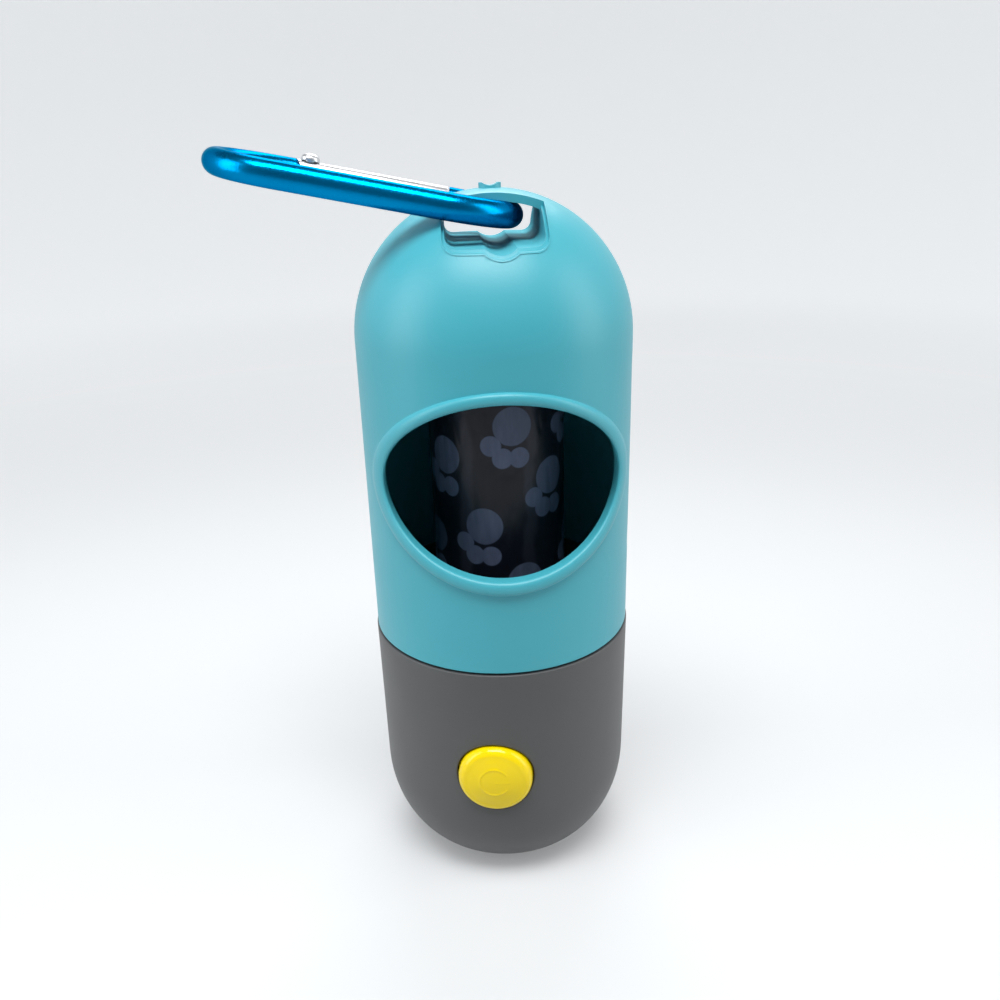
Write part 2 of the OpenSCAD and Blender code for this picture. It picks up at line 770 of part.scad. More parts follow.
module gate_spring() {
    wire_t = 0.26;
    turns = 9;
    steps = 12;
    r = plunger_bore / 2 - running - wire_t / 2;
    from_x = rivet_x + tongue_r + gate_plunger_l + wire_t;
    to_x = fork_x + plunger_bore_l - wire_t;
    rise = (to_x - from_x) / (steps * turns);
    // the coil is drawn standing up, then laid along the gate
    color("silver") in_loop() translate([0, half_w, 0]) rotate([0, 90, 0])
        wire([for (i = [0 : steps * turns]) let (a = 360 * i / steps)
            [r * cos(a), r * sin(a), from_x + rise * i]], wire_t, 6);
}

torch_housing();
lens();
reflector();
led();
led_board();
cell_frame();
switch_board();
switch_body();
button_cell_1();
button_cell_2();
button_cell_3();
cell_spring();
contact_plate();
red_wire();
black_wire();
battery_cover();
cover_screws();
switch_plunger();
button_cap();
neck_seal();
upper_shell();
roll_core();
bag_film();
carabiner_body();
gate_rivet();
carabiner_gate();
gate_plunger();
gate_spring();
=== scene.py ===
from math import asin, atan2, cos, hypot, pi, radians, sin, sqrt

import bmesh
import bpy
from mathutils import Matrix, Vector, noise


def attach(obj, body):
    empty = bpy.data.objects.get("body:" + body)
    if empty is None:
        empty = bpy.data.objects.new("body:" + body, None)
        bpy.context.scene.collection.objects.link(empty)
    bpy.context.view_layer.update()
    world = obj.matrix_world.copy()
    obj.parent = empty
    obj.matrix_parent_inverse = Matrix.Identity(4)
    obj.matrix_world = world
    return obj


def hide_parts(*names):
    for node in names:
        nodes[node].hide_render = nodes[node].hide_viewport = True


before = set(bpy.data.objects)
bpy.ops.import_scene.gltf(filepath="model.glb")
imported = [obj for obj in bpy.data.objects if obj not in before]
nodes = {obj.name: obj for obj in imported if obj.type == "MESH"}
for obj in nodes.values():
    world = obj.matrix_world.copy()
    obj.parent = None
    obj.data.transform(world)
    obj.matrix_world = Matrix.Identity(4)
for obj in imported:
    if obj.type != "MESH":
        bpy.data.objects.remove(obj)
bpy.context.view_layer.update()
scene = bpy.context.scene
mm = 0.001
past, above = 30, 130                    # mm: how far the shell's cutting tools reach, to the sides and up


def vertsIn(made):                       # the vertices in what an operator says it made
    return [g for g in made if isinstance(g, bmesh.types.BMVert)]


def facedOut(bm):
    bmesh.ops.recalc_face_normals(bm, faces=bm.faces)


def tipped(bm, degrees, axis):
    bmesh.ops.rotate(bm, verts=bm.verts, matrix=Matrix.Rotation(radians(degrees), 3, axis))


print("camera, floor and lamps")

view = {
    "focal": 897.28,                    # pixels, in an image 1000 wide
    "place": (0, -0.14638, 0.12341),
    "forward": (0.0015953, 0.931298, -0.364255),
    "roll": -0.0279,
    "turn": -2.7,                       # degrees that the camera stands round the dispenser
}


def addCamera():
    ahead = Vector(view["forward"]).normalized()
    level = ahead.cross(Vector((0, 0, 1))).normalized()
    upright = level.cross(ahead)
    right = level * cos(view["roll"]) + upright * sin(view["roll"])
    up = upright * cos(view["roll"]) - level * sin(view["roll"])
    columns = Matrix((right, up, -ahead)).transposed().to_4x4()
    data = bpy.data.cameras.new("camera")
    data.sensor_width = 36
    data.lens = view["focal"] * data.sensor_width / 1000
    data.clip_start = 0.01
    camera = bpy.data.objects.new("camera", data)
    scene.collection.objects.link(camera)
    aside = Matrix.Rotation(radians(view["turn"]), 4, "Z")
    camera.matrix_world = aside @ Matrix.Translation(view["place"]) @ columns
    scene.camera = camera


studio = {
    "floor": (0.52, 0.53, 0.54), "wall": (0.80, 0.82, 0.84),
    "floorGlow": 0.20, "wallGlow": 0.57,     # added where the camera, metal or glass sees the paper
    "frontGloss": 0.12,                  # the share of that glow left in reflections of the paper in front
    "radius": 1.15, "wallHeight": 0.95, "corner": 0.5,
    "sky": (0.96, 0.98, 1.0), "skyLight": 0.26,
    "spread": 110, "aim": (0, 0, 0.06),  # the lamps' degrees of spread, and what they point at
    "lamps": [                           # place, width, height, watts, colour
        ((-0.02, -0.20, 0.60), 0.50, 0.22, 1.48, (1, 1, 1)),
        ((0.46, -0.10, 0.24), 0.25, 0.50, 0.42, (1, 0.99, 0.97)),
        ((-0.46, -0.10, 0.24), 0.25, 0.50, 0.48, (0.97, 0.99, 1)),
        ((0.05, 0.42, 0.50), 0.40, 0.25, 0.6, (1, 1, 1)),
    ],
}


class Shade:                             # a shader socket that takes part in sums
    def __init__(self, tree, socket=None):
        self.tree = tree
        self.socket = socket

    def node(self, kind, settings={}, values={}, out=0):
        made = self.tree.nodes.new(kind)
        for key, value in settings.items():
            setattr(made, key, value)
        for key, value in values.items():
            if isinstance(value, Shade):
                self.tree.links.new(value.socket, made.inputs[key])
            else:
                made.inputs[key].default_value = value
        return Shade(self.tree, made.outputs[out])

    def sum(self, operation, first, second=0.0):
        return self.node("ShaderNodeMath", {"operation": operation}, {0: first, 1: second})

    def __add__(self, other): return self.sum("ADD", self, other)
    def __radd__(self, other): return self.sum("ADD", other, self)
    def __sub__(self, other): return self.sum("SUBTRACT", self, other)
    def __rsub__(self, other): return self.sum("SUBTRACT", other, self)
    def __mul__(self, other): return self.sum("MULTIPLY", self, other)
    def __rmul__(self, other): return self.sum("MULTIPLY", other, self)
    def __truediv__(self, other): return self.sum("DIVIDE", self, other)
    def __lt__(self, other): return self.sum("LESS_THAN", self, other)
    def __gt__(self, other): return self.sum("GREATER_THAN", self, other)

    def soft(self, low, high):           # 0 below low, 1 above high, smooth between
        return self.node("ShaderNodeMapRange", {"interpolation_type": "SMOOTHSTEP"},
                         {"Value": self, "From Min": low, "From Max": high})

    def axes(self):
        parts = self.tree.nodes.new("ShaderNodeSeparateXYZ")
        self.tree.links.new(self.socket, parts.inputs[0])
        return [Shade(self.tree, parts.outputs[i]) for i in range(3)]


def srgb(red, green, blue):
    return tuple(c / 12.92 if c <= 0.04045 else ((c + 0.055) / 1.055) ** 2.4
                 for c in (red / 255, green / 255, blue / 255)) + (1.0,)


def blank(name):
    material = bpy.data.materials.new(name)
    material.use_nodes = True
    tree = material.node_tree
    shader = tree.nodes["Principled BSDF"]
    pen = Shade(tree)
    where = pen.node("ShaderNodeTexCoord", out=3)      # Object coordinates
    return material, shader, pen, where


def speckle(pen, where, scale, detail=2.0, stretch=(1, 1, 1)):
    if stretch != (1, 1, 1):
        where = pen.node("ShaderNodeMapping", {}, {"Vector": where, "Scale": stretch})
    return pen.node("ShaderNodeTexNoise", {}, {"Vector": where, "Scale": scale, "Detail": detail})


def mixed(pen, factor, first, second):
    return pen.node("ShaderNodeMix", {"data_type": "RGBA"}, {0: factor, 6: first, 7: second}, out=2)


def feed(shader, **sockets):
    for name, value in sockets.items():
        socket = shader.inputs[name.replace("_", " ")]
        if isinstance(value, Shade):
            value.tree.links.new(value.socket, socket)
        else:
            socket.default_value = value


def bumped(pen, height, distance):
    return pen.node("ShaderNodeBump", {}, {"Height": height, "Distance": distance, "Strength": 1.0})


# colour, a second colour for its cloudiness, roughness and its spread, grain scale (per metre), grain depth,
# shine
plastics = {
    "tealAbs": (srgb(62, 160, 175), srgb(67, 165, 180), 0.40, 0.06, 2600, 0.000010, 0.5),
    "greyAbs": (srgb(72, 73, 74), srgb(77, 78, 79), 0.48, 0.07, 3600, 0.000016, 0.5),
    "yellowButton": (srgb(236, 206, 0), srgb(238, 209, 2), 0.10, 0.05, 2200, 0.000003, 0.35),
    "whiteFrame": (srgb(214, 214, 208), srgb(222, 222, 217), 0.45, 0.08, 2400, 0.000010, 0.5),
    "blackSwitch": (srgb(34, 34, 36), srgb(42, 42, 44), 0.42, 0.08, 3000, 0.000012, 0.5),
    "blackRubber": (srgb(30, 30, 31), srgb(38, 38, 39), 0.72, 0.08, 2800, 0.000014, 0.3),
    "redInsulation": (srgb(178, 30, 26), srgb(188, 38, 32), 0.40, 0.06, 2000, 0.000006, 0.5),
    "blackInsulation": (srgb(28, 28, 30), srgb(36, 36, 38), 0.42, 0.06, 2000, 0.000006, 0.5),
    "ledEpoxy": (srgb(236, 228, 176), srgb(242, 236, 196), 0.12, 0.03, 900, 0.000002, 0.5),
}


slotDull = {"low": 0.1075, "out": 0.0216, "domeZ": 0.0955, "rougher": 0.4}    # metres


def plastic(name):
    colour, cloud, rough, spread, grain, depth, shine = plastics[name]
    material, shader, pen, where = blank(name)
    broad = speckle(pen, where, 60.0)
    fine = speckle(pen, where, grain, 3.0)
    smear = speckle(pen, where, 170.0, 4.0, (1.0, 1.0, 0.45))
    roughness = rough - spread / 2 + spread * smear
    if name == "tealAbs":                # the core that leaves the strap slot is not polished
        x, y, z = where.axes()
        up = z - slotDull["domeZ"]
        out = pen.sum("SQRT", x * x + y * y + up * up)
        roughness = roughness + slotDull["rougher"] * (out < slotDull["out"]) * (z > slotDull["low"])
    feed(shader, Base_Color=mixed(pen, broad, colour, cloud), Roughness=roughness,
         Normal=bumped(pen, fine, depth), Specular_IOR_Level=shine)
    return material


# colour, second colour, roughness, spread, grain scale, stretch of the brushing, depth
metals = {
    "bareMetal": (srgb(206, 208, 210), srgb(222, 223, 225), 0.32, 0.14, 900, (0.06, 1, 1), 0.000006),
    "screwSteel": (srgb(176, 178, 182), srgb(204, 205, 208), 0.30, 0.16, 1400, (1, 1, 0.2), 0.000006),
    "cellCan": (srgb(196, 197, 198), srgb(214, 214, 214), 0.24, 0.12, 1100, (1, 1, 0.15), 0.000004),
    "giltContact": (srgb(206, 170, 92), srgb(222, 190, 116), 0.30, 0.12, 1000, (1, 1, 1), 0.000004),
    "brightReflector": (srgb(222, 224, 226), srgb(234, 235, 237), 0.07, 0.05, 500, (1, 1, 1), 0.000002),
}


def metal(name):
    colour, cloud, rough, spread, grain, stretch, depth = metals[name]
    material, shader, pen, where = blank(name)
    broad = speckle(pen, where, 90.0)
    lines = speckle(pen, where, grain, 4.0, stretch)
    feed(shader, Base_Color=mixed(pen, broad, colour, cloud), Metallic=1.0,
         Roughness=rough - spread / 2 + spread * lines, Normal=bumped(pen, lines, depth))
    return material


def anodised():
    material, shader, pen, where = blank("blueAnodised")
    grit = speckle(pen, where, 2600.0, 3.0)
    broad = speckle(pen, where, 110.0)
    feed(shader, Base_Color=mixed(pen, broad, srgb(0, 117, 175), srgb(0, 134, 192)), Metallic=1.0,
         Specular_Tint=(0.02, 0.5, 0.62, 1), Roughness=0.18 + 0.14 * grit, Normal=bumped(pen, grit, 0.000018))
    return material


def cardboard():
    material, shader, pen, where = blank("coreCard")
    fibre = speckle(pen, where, 900.0, 6.0, (1, 1, 0.3))
    layer = pen.node("ShaderNodeTexWave", {"bands_direction": "Z"},
                     {"Vector": where, "Scale": 55.0, "Distortion": 1.5})
    feed(shader, Base_Color=mixed(pen, fibre, srgb(178, 148, 108), srgb(206, 180, 142)),
         Roughness=0.78 + 0.12 * fibre, Normal=bumped(pen, fibre + 0.4 * layer, 0.00004))
    return material


def circuitBoard():
    material, shader, pen, where = blank("circuitBoard")
    x, y, z = where.axes()
    weave = speckle(pen, where, 1500.0, 2.0)
    tracks = pen.node("ShaderNodeTexVoronoi", {"feature": "DISTANCE_TO_EDGE"},
                      {"Vector": where, "Scale": 480.0})
    copper = 1 - tracks.soft(0.04, 0.09)
    green = mixed(pen, weave, srgb(24, 92, 52), srgb(34, 110, 64))
    feed(shader, Base_Color=mixed(pen, copper * 0.5, green, srgb(70, 150, 84)),
         Roughness=0.32 + 0.1 * weave, Normal=bumped(pen, copper, 0.00003))
    return material


def clearLens():
    material, shader, pen, where = blank("clearLens")
    ripple = speckle(pen, where, 300.0, 2.0)
    feed(shader, Base_Color=(1, 1, 1, 1), Roughness=0.03 + 0.05 * ripple,
         Normal=bumped(pen, ripple, 0.000004), Transmission_Weight=1.0, IOR=1.49)
    return material


prints = {                               # mm, over the film's surface
    "pad": 3.2, "toe": 1.72,             # radii
    "toes": [(-3.6, -3.1), (-1.72, -5.2), (1.1, -5.25)],
    "width": 36.44, "height": 39,        # the pattern's repeat: half of the way round
    "paws": [                            # place, and how many widths it repeats after
        (2.0, 36.5, 1), (9.3, 27.1, 1), (-3.1, 19.6, 1), (-10.4, 31.0, 1),
        (14.8, 38.6, 1), (3.9, 9.4, 1), (-14.2, 16.0, 2), (17.0, 15.0, 2),
    ],
    "blur": 0.12, "padInk": 0.86,
    "bare": (10.4, 10.8),                # the ink ends between these radii, so the roll's ends stay plain
    "sheens": [(-6.2, 1.6), (5.0, 1.5), (-15.0, 1.2)],    # painted sheen: lighter streaks painted into the film's colour in place of reflections: place, half width
}


def apart(pen, a, b, repeat):            # how far a lies from the nearest repeat of b
    d = a - b
    return d - repeat * pen.sum("ROUND", d / repeat)


def pawPrints(pen, u, v):
    p = prints
    ink = 0
    spots = [(0, 0, p["pad"], p["padInk"])] + [(x, y, p["toe"], 1) for x, y in p["toes"]]
    for across, up, every in p["paws"]:
        for x, y, radius, tone in spots:
            du = apart(pen, u, across + x, p["width"] * every)
            dv = apart(pen, v, up + y, p["height"])
            away = pen.sum("SQRT", du * du + dv * dv)
            ink = pen.sum("MAXIMUM", tone - tone * away.soft(radius - p["blur"], radius + p["blur"]), ink)
    return ink


def bagFilm():
    material, shader, pen, where = blank("blackFilm")
    sheet = pen.node("ShaderNodeUVMap", {"uv_map": "sheet"})
    u, v, w = sheet.axes()
    x, y, z = where.axes()
    ink = pawPrints(pen, u * 1000, v * 1000) * (pen.sum("SQRT", x * x + y * y) * 1000).soft(*prints["bare"])
    wave = speckle(pen, where, 160.0, 4.0)
    fine = speckle(pen, where, 900.0, 3.0, (1, 1, 0.25))
    # painted reflection: along these streaks the film's colour is lightened to stand in for sheen
    sheen = 0
    for across, half in prints["sheens"]:
        away = apart(pen, u * 1000 + 3 * wave, across + 1.5, prints["width"])
        sheen = pen.sum("MAXIMUM", 1 - pen.sum("ABSOLUTE", away).soft(half * 0.3, half), sheen)
    # the film's own dark colour, mixed towards srgb(58, 60, 73) along the painted sheen
    film = mixed(pen, 0.8 * sheen * speckle(pen, where, 70.0), srgb(19, 22, 33), srgb(58, 60, 73))
    feed(shader, Base_Color=mixed(pen, ink, film, mixed(pen, fine, srgb(71, 82, 106), srgb(96, 107, 132))),
         Specular_IOR_Level=0.28, Roughness=0.26 + 0.14 * wave + 0.08 * ink,
         Normal=bumped(pen, wave + 0.25 * fine, 0.00012))
    return material


finishes = {name: plastic(name) for name in plastics}
finishes.update({name: metal(name) for name in metals})
for material in (anodised(), cardboard(), circuitBoard(), clearLens(), bagFilm()):
    finishes[material.name] = material


def paper():
    material, shader, pen, where = blank("studioPaper")
    x, y, z = where.axes()
    cloud = speckle(pen, where, 3.0)
    rise = pen.sum("SQRT", x * x + y * y).soft(0.2, 0.7)
    pale = mixed(pen, rise, studio["floor"] + (1,), studio["wall"] + (1,))
    dim = studio["frontGloss"]           # the paper in front of the dispenser shows duller in its gloss
    seen = pen.node("ShaderNodeLightPath", out="Is Glossy Ray") * (dim + (1 - dim) * y.soft(-1.0, 0.2))
    for ray in ("Is Camera Ray", "Is Transmission Ray"):
        seen = pen.sum("MAXIMUM", pen.node("ShaderNodeLightPath", out=ray), seen)
    glow = seen * (studio["floorGlow"] + (studio["wallGlow"] - studio["floorGlow"]) * rise)
    feed(shader, Base_Color=mixed(pen, 0.02 * cloud, pale, (1, 1, 1, 1)), Roughness=0.9,
         Specular_IOR_Level=0.0,
         Emission_Color=mixed(pen, glow, (0, 0, 0, 1), (0.97, 0.985, 1, 1)), Emission_Strength=1.0)
    return material


def addStage():                          # a round floor with a coved wall all the way round
    bm = bmesh.new()
    bmesh.ops.create_circle(bm, cap_ends=True, segments=96, radius=studio["radius"])
    foot = bm.edges[:]
    made = bmesh.ops.extrude_edge_only(bm, edges=foot)["geom"]
    bmesh.ops.translate(bm, verts=vertsIn(made), vec=(0, 0, studio["wallHeight"]))
    bmesh.ops.bevel(bm, geom=foot, offset=studio["corner"], segments=16, profile=0.5,
                    affect="EDGES", material=-1)
    facedOut(bm)
    bmesh.ops.reverse_faces(bm, faces=bm.faces)
    for face in bm.faces:
        face.smooth = True
    mesh = bpy.data.meshes.new("studioFloor")
    bm.to_mesh(mesh)
    bm.free()
    floor = bpy.data.objects.new("studioFloor", mesh)
    scene.collection.objects.link(floor)
    mesh.materials.append(paper())
    world = bpy.data.worlds.new("studio")
    world.use_nodes = True
    world.node_tree.nodes["Background"].inputs["Color"].default_value = studio["sky"] + (1,)
    world.node_tree.nodes["Background"].inputs["Strength"].default_value = studio["skyLight"]
    scene.world = world
    for index, (place, width, height, watts, colour) in enumerate(studio["lamps"]):
        data = bpy.data.lights.new("lamp%d" % index, "AREA")
        data.shape = "RECTANGLE"
        data.size, data.size_y, data.energy, data.color = width, height, watts, colour
        data.spread = radians(studio["spread"])
        lamp = bpy.data.objects.new(data.name, data)
        scene.collection.objects.link(lamp)
        lamp.location = place
        lamp.rotation_euler = (Vector(studio["aim"]) - lamp.location).to_track_quat("-Z", "Y").to_euler()


scene.view_settings.view_transform = "Standard"
addCamera()
addStage()

print("helpers")


def ringOf(bm, points, closed=True):     # a chain of edges through (r, z) points, in the plane y = 0
    verts = [bm.verts.new((r * mm, 0, z * mm)) for r, z in points]
    for pair in list(zip(verts, verts[1:])) + ([(verts[-1], verts[0])] if closed else []):
        bm.edges.new(pair)
    return verts


def spun(bm, steps):
    bmesh.ops.spin(bm, geom=bm.verts[:] + bm.edges[:], cent=(0, 0, 0), axis=(0, 0, 1), dvec=(0, 0, 0),
                   angle=2 * pi, steps=steps, use_merge=True)
    bmesh.ops.remove_doubles(bm, verts=bm.verts, dist=1e-7)


def turned(points, ease, steps, closed=True):    # a lathe-turned solid, its corners rounded by ease
    bm = bmesh.new()
    verts = ringOf(bm, points, closed)
    if ease:
        corners = [v for v in verts if v.co.x > 1e-6 and len(v.link_edges) == 2]
        bmesh.ops.bevel(bm, geom=corners, offset=ease * mm, offset_type="OFFSET", segments=3, profile=0.5,
                        affect="VERTICES", clamp_overlap=True, material=-1)
    spun(bm, steps)
    facedOut(bm)
    return bm


def madeOf(bm, name="tool"):
    mesh = bpy.data.meshes.new(name)
    bm.to_mesh(mesh)
    bm.free()
    made = bpy.data.objects.new(name, mesh)
    scene.collection.objects.link(made)
    return made


def carved(work, tool, operation="DIFFERENCE"):    # one solid cut by, or joined with, another
    change = work.modifiers.new("carve", "BOOLEAN")
    change.operation = operation
    change.solver = "EXACT"
    change.object = tool
    settled(work)
    bpy.data.objects.remove(tool)
    return work


def settled(work):                       # modifiers become the mesh
    bpy.context.view_layer.update()
    shaped = bpy.data.meshes.new_from_object(work.evaluated_get(bpy.context.evaluated_depsgraph_get()))
    old = work.data
    work.modifiers.clear()
    work.data = shaped
    bpy.data.meshes.remove(old)


def welded(work, gap):                   # drops the slivers that a cut leaves, mm
    change = work.modifiers.new("weld", "WELD")
    change.merge_threshold = gap * mm
    settled(work)


def evened(work):                        # large faces lead the shading round the small ones of an edge
    change = work.modifiers.new("even", "WEIGHTED_NORMAL")
    change.weight = 80
    change.keep_sharp = True
    settled(work)


def softened(work, width, angle, segments=3):    # rounds every edge sharper than the angle
    change = work.modifiers.new("soften", "BEVEL")
    change.width = width * mm
    change.segments = segments
    change.limit_method = "ANGLE"
    change.angle_limit = radians(angle)
    change.use_clamp_overlap = True
    settled(work)


def fitted(work, body, finish, node, sharp=50, even=False):
    work.data.shade_smooth()
    work.data.set_sharp_from_angle(angle=radians(sharp))
    if even:
        evened(work)
    mesh = work.data
    mesh.materials.clear()
    mesh.materials.append(finishes[finish])
    for face in mesh.polygons:
        face.material_index = 0
    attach(work, body)
    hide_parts(node)


def block(low, high):                    # a box between two corners, as a tool
    bm = bmesh.new()
    bmesh.ops.create_cube(bm, size=1)
    size = [(b - a) * mm for a, b in zip(low, high)]
    bmesh.ops.scale(bm, vec=size, verts=bm.verts)
    bmesh.ops.translate(bm, vec=[(a + b) / 2 * mm for a, b in zip(low, high)], verts=bm.verts)
    return bm


def rod(radius, low, high, steps, axis="Z", centre=(0, 0)):    # a round bar between two levels, as a tool
    bm = bmesh.new()
    bmesh.ops.create_cone(bm, cap_ends=True, segments=steps, radius1=radius * mm, radius2=radius * mm,
                          depth=(high - low) * mm)
    bmesh.ops.translate(bm, vec=(centre[0] * mm, centre[1] * mm, (low + high) / 2 * mm), verts=bm.verts)
    if axis == "Y":                      # centre is then (x, z), and the bar runs along y
        tipped(bm, 90, "X")
        for v in bm.verts:
            v.co.y = -v.co.y
        bmesh.ops.reverse_faces(bm, faces=bm.faces)
    return bm


def openHole(bm, radiusAt, centre, halfAngle, halfHeight, shape, rings, sag=0):
    # Takes out a patch of a turned wall round the -y side, and fills it with rings that close in on an oval
    # hole. radiusAt gives the wall's radius at a height, rings are (outset from the oval, rise off the wall),
    # and sag is how far each ring hangs lower, as a share of its outset.
    def inPatch(face):
        c = face.calc_center_median()
        angle = atan2(c.x, -c.y)
        r = hypot(c.x, c.y)
        near = abs(r - radiusAt(c.z / mm) * mm) < 0.4 * mm
        return near and abs(angle) < halfAngle and abs(c.z - centre * mm) < halfHeight * mm
    patch = [f for f in bm.faces if inPatch(f)]
    bmesh.ops.delete(bm, geom=patch, context="FACES")
    loop = [e for e in bm.edges if e.is_boundary and all(
        abs(atan2(v.co.x, -v.co.y)) < halfAngle + 0.01
        and abs(v.co.z - centre * mm) < (halfHeight + 0.02) * mm
        and abs(hypot(v.co.x, v.co.y) - radiusAt(v.co.z / mm) * mm) < 0.1 * mm for v in e.verts)]
    start = max((v for e in loop for v in e.verts), key=lambda v: (round(v.co.z, 6), -abs(v.co.x)))
    around = [start]
    left = set(loop)
    while True:                          # the loop's vertices in order
        follow = [e for e in around[-1].link_edges if e in left]
        if not follow:
            break
        edge = follow[0]
        left.remove(edge)
        ahead = edge.other_vert(around[-1])
        if ahead is start:
            break
        around.append(ahead)
    count = len(around)
    way = 1 if around[1].co.x > start.co.x else -1
    flat = [(atan2(v.co.x, -v.co.y), v.co.z / mm - centre) for v in around]
    a, b = shape
    spread = rings[0][0]
    edges = loop

    def spot(index, outset):             # the oval's point for this vertex
        t = 2 * pi * index / count
        return way * (a + outset) * sin(t), (b + outset) * cos(t) - sag * outset
    steps = [("blend", f) for f in (0.3, 0.6, 0.85)] + [("ring", ring) for ring in rings]
    for kind, value in steps:
        made = bmesh.ops.extrude_edge_only(bm, edges=edges)["geom"]
        edges = [g for g in made if isinstance(g, bmesh.types.BMEdge)]
        fresh = {}
        for v in vertsIn(made):
            for e in v.link_edges:
                other = e.other_vert(v)
                if other in around:
                    fresh[other] = v
        around = [fresh[v] for v in around]
        for index, v in enumerate(around):
            if kind == "blend":
                x, z = spot(index, spread)
                r = radiusAt(centre + z)
                angle = flat[index][0] * (1 - value) + asin(x / r) * value
                z = flat[index][1] * (1 - value) + z * value
                r = radiusAt(centre + z)
                v.co = Vector((r * sin(angle), -r * cos(angle), centre + z)) * mm
            else:
                x, z = spot(index, value[0])
                r = radiusAt(centre + z) + value[1]
                v.co = Vector((x, -sqrt(r * r - x * x), centre + z)) * mm
    return edges


print("upper shell")

shell = {
    "radius": 22.5, "wall": 1.6, "bottom": 45.0, "chamfer": 0.12, "domeZ": 95.5,
    "columns": 180, "domeRows": 30, "plainRows": (48, 51.5, 55), "insideRow": 52, "ballSteps": 160,
    "windowZ": 75.4, "windowWidth": 36.8, "windowHeight": 28,
    "patchAngle": 82.5, "patchHeight": 17.5, "patchRows": 28,
    "rimWidth": 2.1, "rimRise": 0.9, "rimSteps": 12, "rimSquare": 0.8, "rimSag": 0.11,
    "rimFoot": 0.35, "rimEdge": 0.12,    # how far the foot spreads, and its rise at the window's edge
    "insideRings": [(0.8, 0), (0.25, 0), (0.07, 0.07), (0, 0.25)],    # outset from the window, rise
    "slotWidth": 14.6, "slotFloor": 110.3, "slotCorner": 1.5, "lip": 0.45, "lipDeep": 0.7,
    "beadWidth": 0.2, "beadRise": 0.1, "beadLow": 90,
    "eyeRadius": 3.35, "eyeZ": 112.75, "eyeX": 0.7,
    "bridgeWidth": 10.4, "bridgeThick": 1.2, "bridgeCorner": 2.0,
    "stubRadius": 1.75, "stubRise": 0.7, "stubSaddle": 1.9, "stubDip": 0.42,
    "sliver": 0.005, "edge": 0.22, "corner": 38,
}


def arcPoints(radius, centreZ, first, last, steps):
    return [(radius * cos(radians(first + (last - first) * i / steps)),
             centreZ + radius * sin(radians(first + (last - first) * i / steps))) for i in range(steps + 1)]


def slotTool(width, floor, corner):      # a bar along y with the slot's section, floor down
    bm = block((-width / 2, -past, floor), (width / 2, past, above))
    low = [e for e in bm.edges if all(v.co.z < (floor + 0.1) * mm for v in e.verts)
           and abs(e.verts[0].co.x - e.verts[1].co.x) < 1e-7]
    bmesh.ops.bevel(bm, geom=low, offset=corner * mm, segments=8, profile=0.5, affect="EDGES", material=-1)
    return madeOf(bm)


def ball(radius):                        # a ball round the dome's centre
    bm = bmesh.new()
    steps = shell["ballSteps"]
    bmesh.ops.create_uvsphere(bm, u_segments=steps, v_segments=steps // 2, radius=radius * mm)
    bmesh.ops.translate(bm, verts=bm.verts, vec=(0, 0, shell["domeZ"] * mm))
    return madeOf(bm)


def slotAndEye(wider):                   # the slot joined with the round way through it, grown on all sides
    s = shell
    tool = slotTool(s["slotWidth"] + 2 * wider, s["slotFloor"] - wider, s["slotCorner"] + wider)
    eye = rod(s["eyeRadius"] + wider, -past, past, 96, "Y", (s["eyeX"], s["eyeZ"]))
    return carved(tool, madeOf(eye), "UNION")


def bridgeTool():                        # everything over the slot that stays as the bridge
    s = shell
    half, corner, under = s["slotWidth"] / 2, s["bridgeCorner"], s["radius"] - s["bridgeThick"]
    rise = sqrt((under - corner) ** 2 - (half - corner) ** 2)
    tip = atan2(rise, half - corner)
    side = [(half - corner + corner * cos(tip * i / 8), s["domeZ"] + rise + corner * sin(tip * i / 8))
            for i in range(9)]
    crest = arcPoints(under, s["domeZ"], tip * 180 / pi, 180 - tip * 180 / pi, 24)[1:-1]
    foot = s["slotFloor"] - 5
    outline = [(half, foot)] + side + crest + [(-x, z) for x, z in reversed(side)] + [(-half, foot)]
    bm = bmesh.new()                     # the room under the bridge
    face = bm.faces.new([bm.verts.new((x * mm, -past * mm, z * mm)) for x, z in outline])
    made = bmesh.ops.extrude_face_region(bm, geom=[face])["geom"]
    bmesh.ops.translate(bm, verts=vertsIn(made), vec=(0, 2 * past * mm, 0))
    bmesh.ops.holes_fill(bm, edges=bm.edges)
    facedOut(bm)
    room = carved(madeOf(bm), ball(under), "INTERSECT")
    across = half + s["lip"] + 3
    reach = s["bridgeWidth"] / 2
    bm = block((-across, -reach, s["slotFloor"]), (across, reach, 125))
    return carved(madeOf(bm), room)


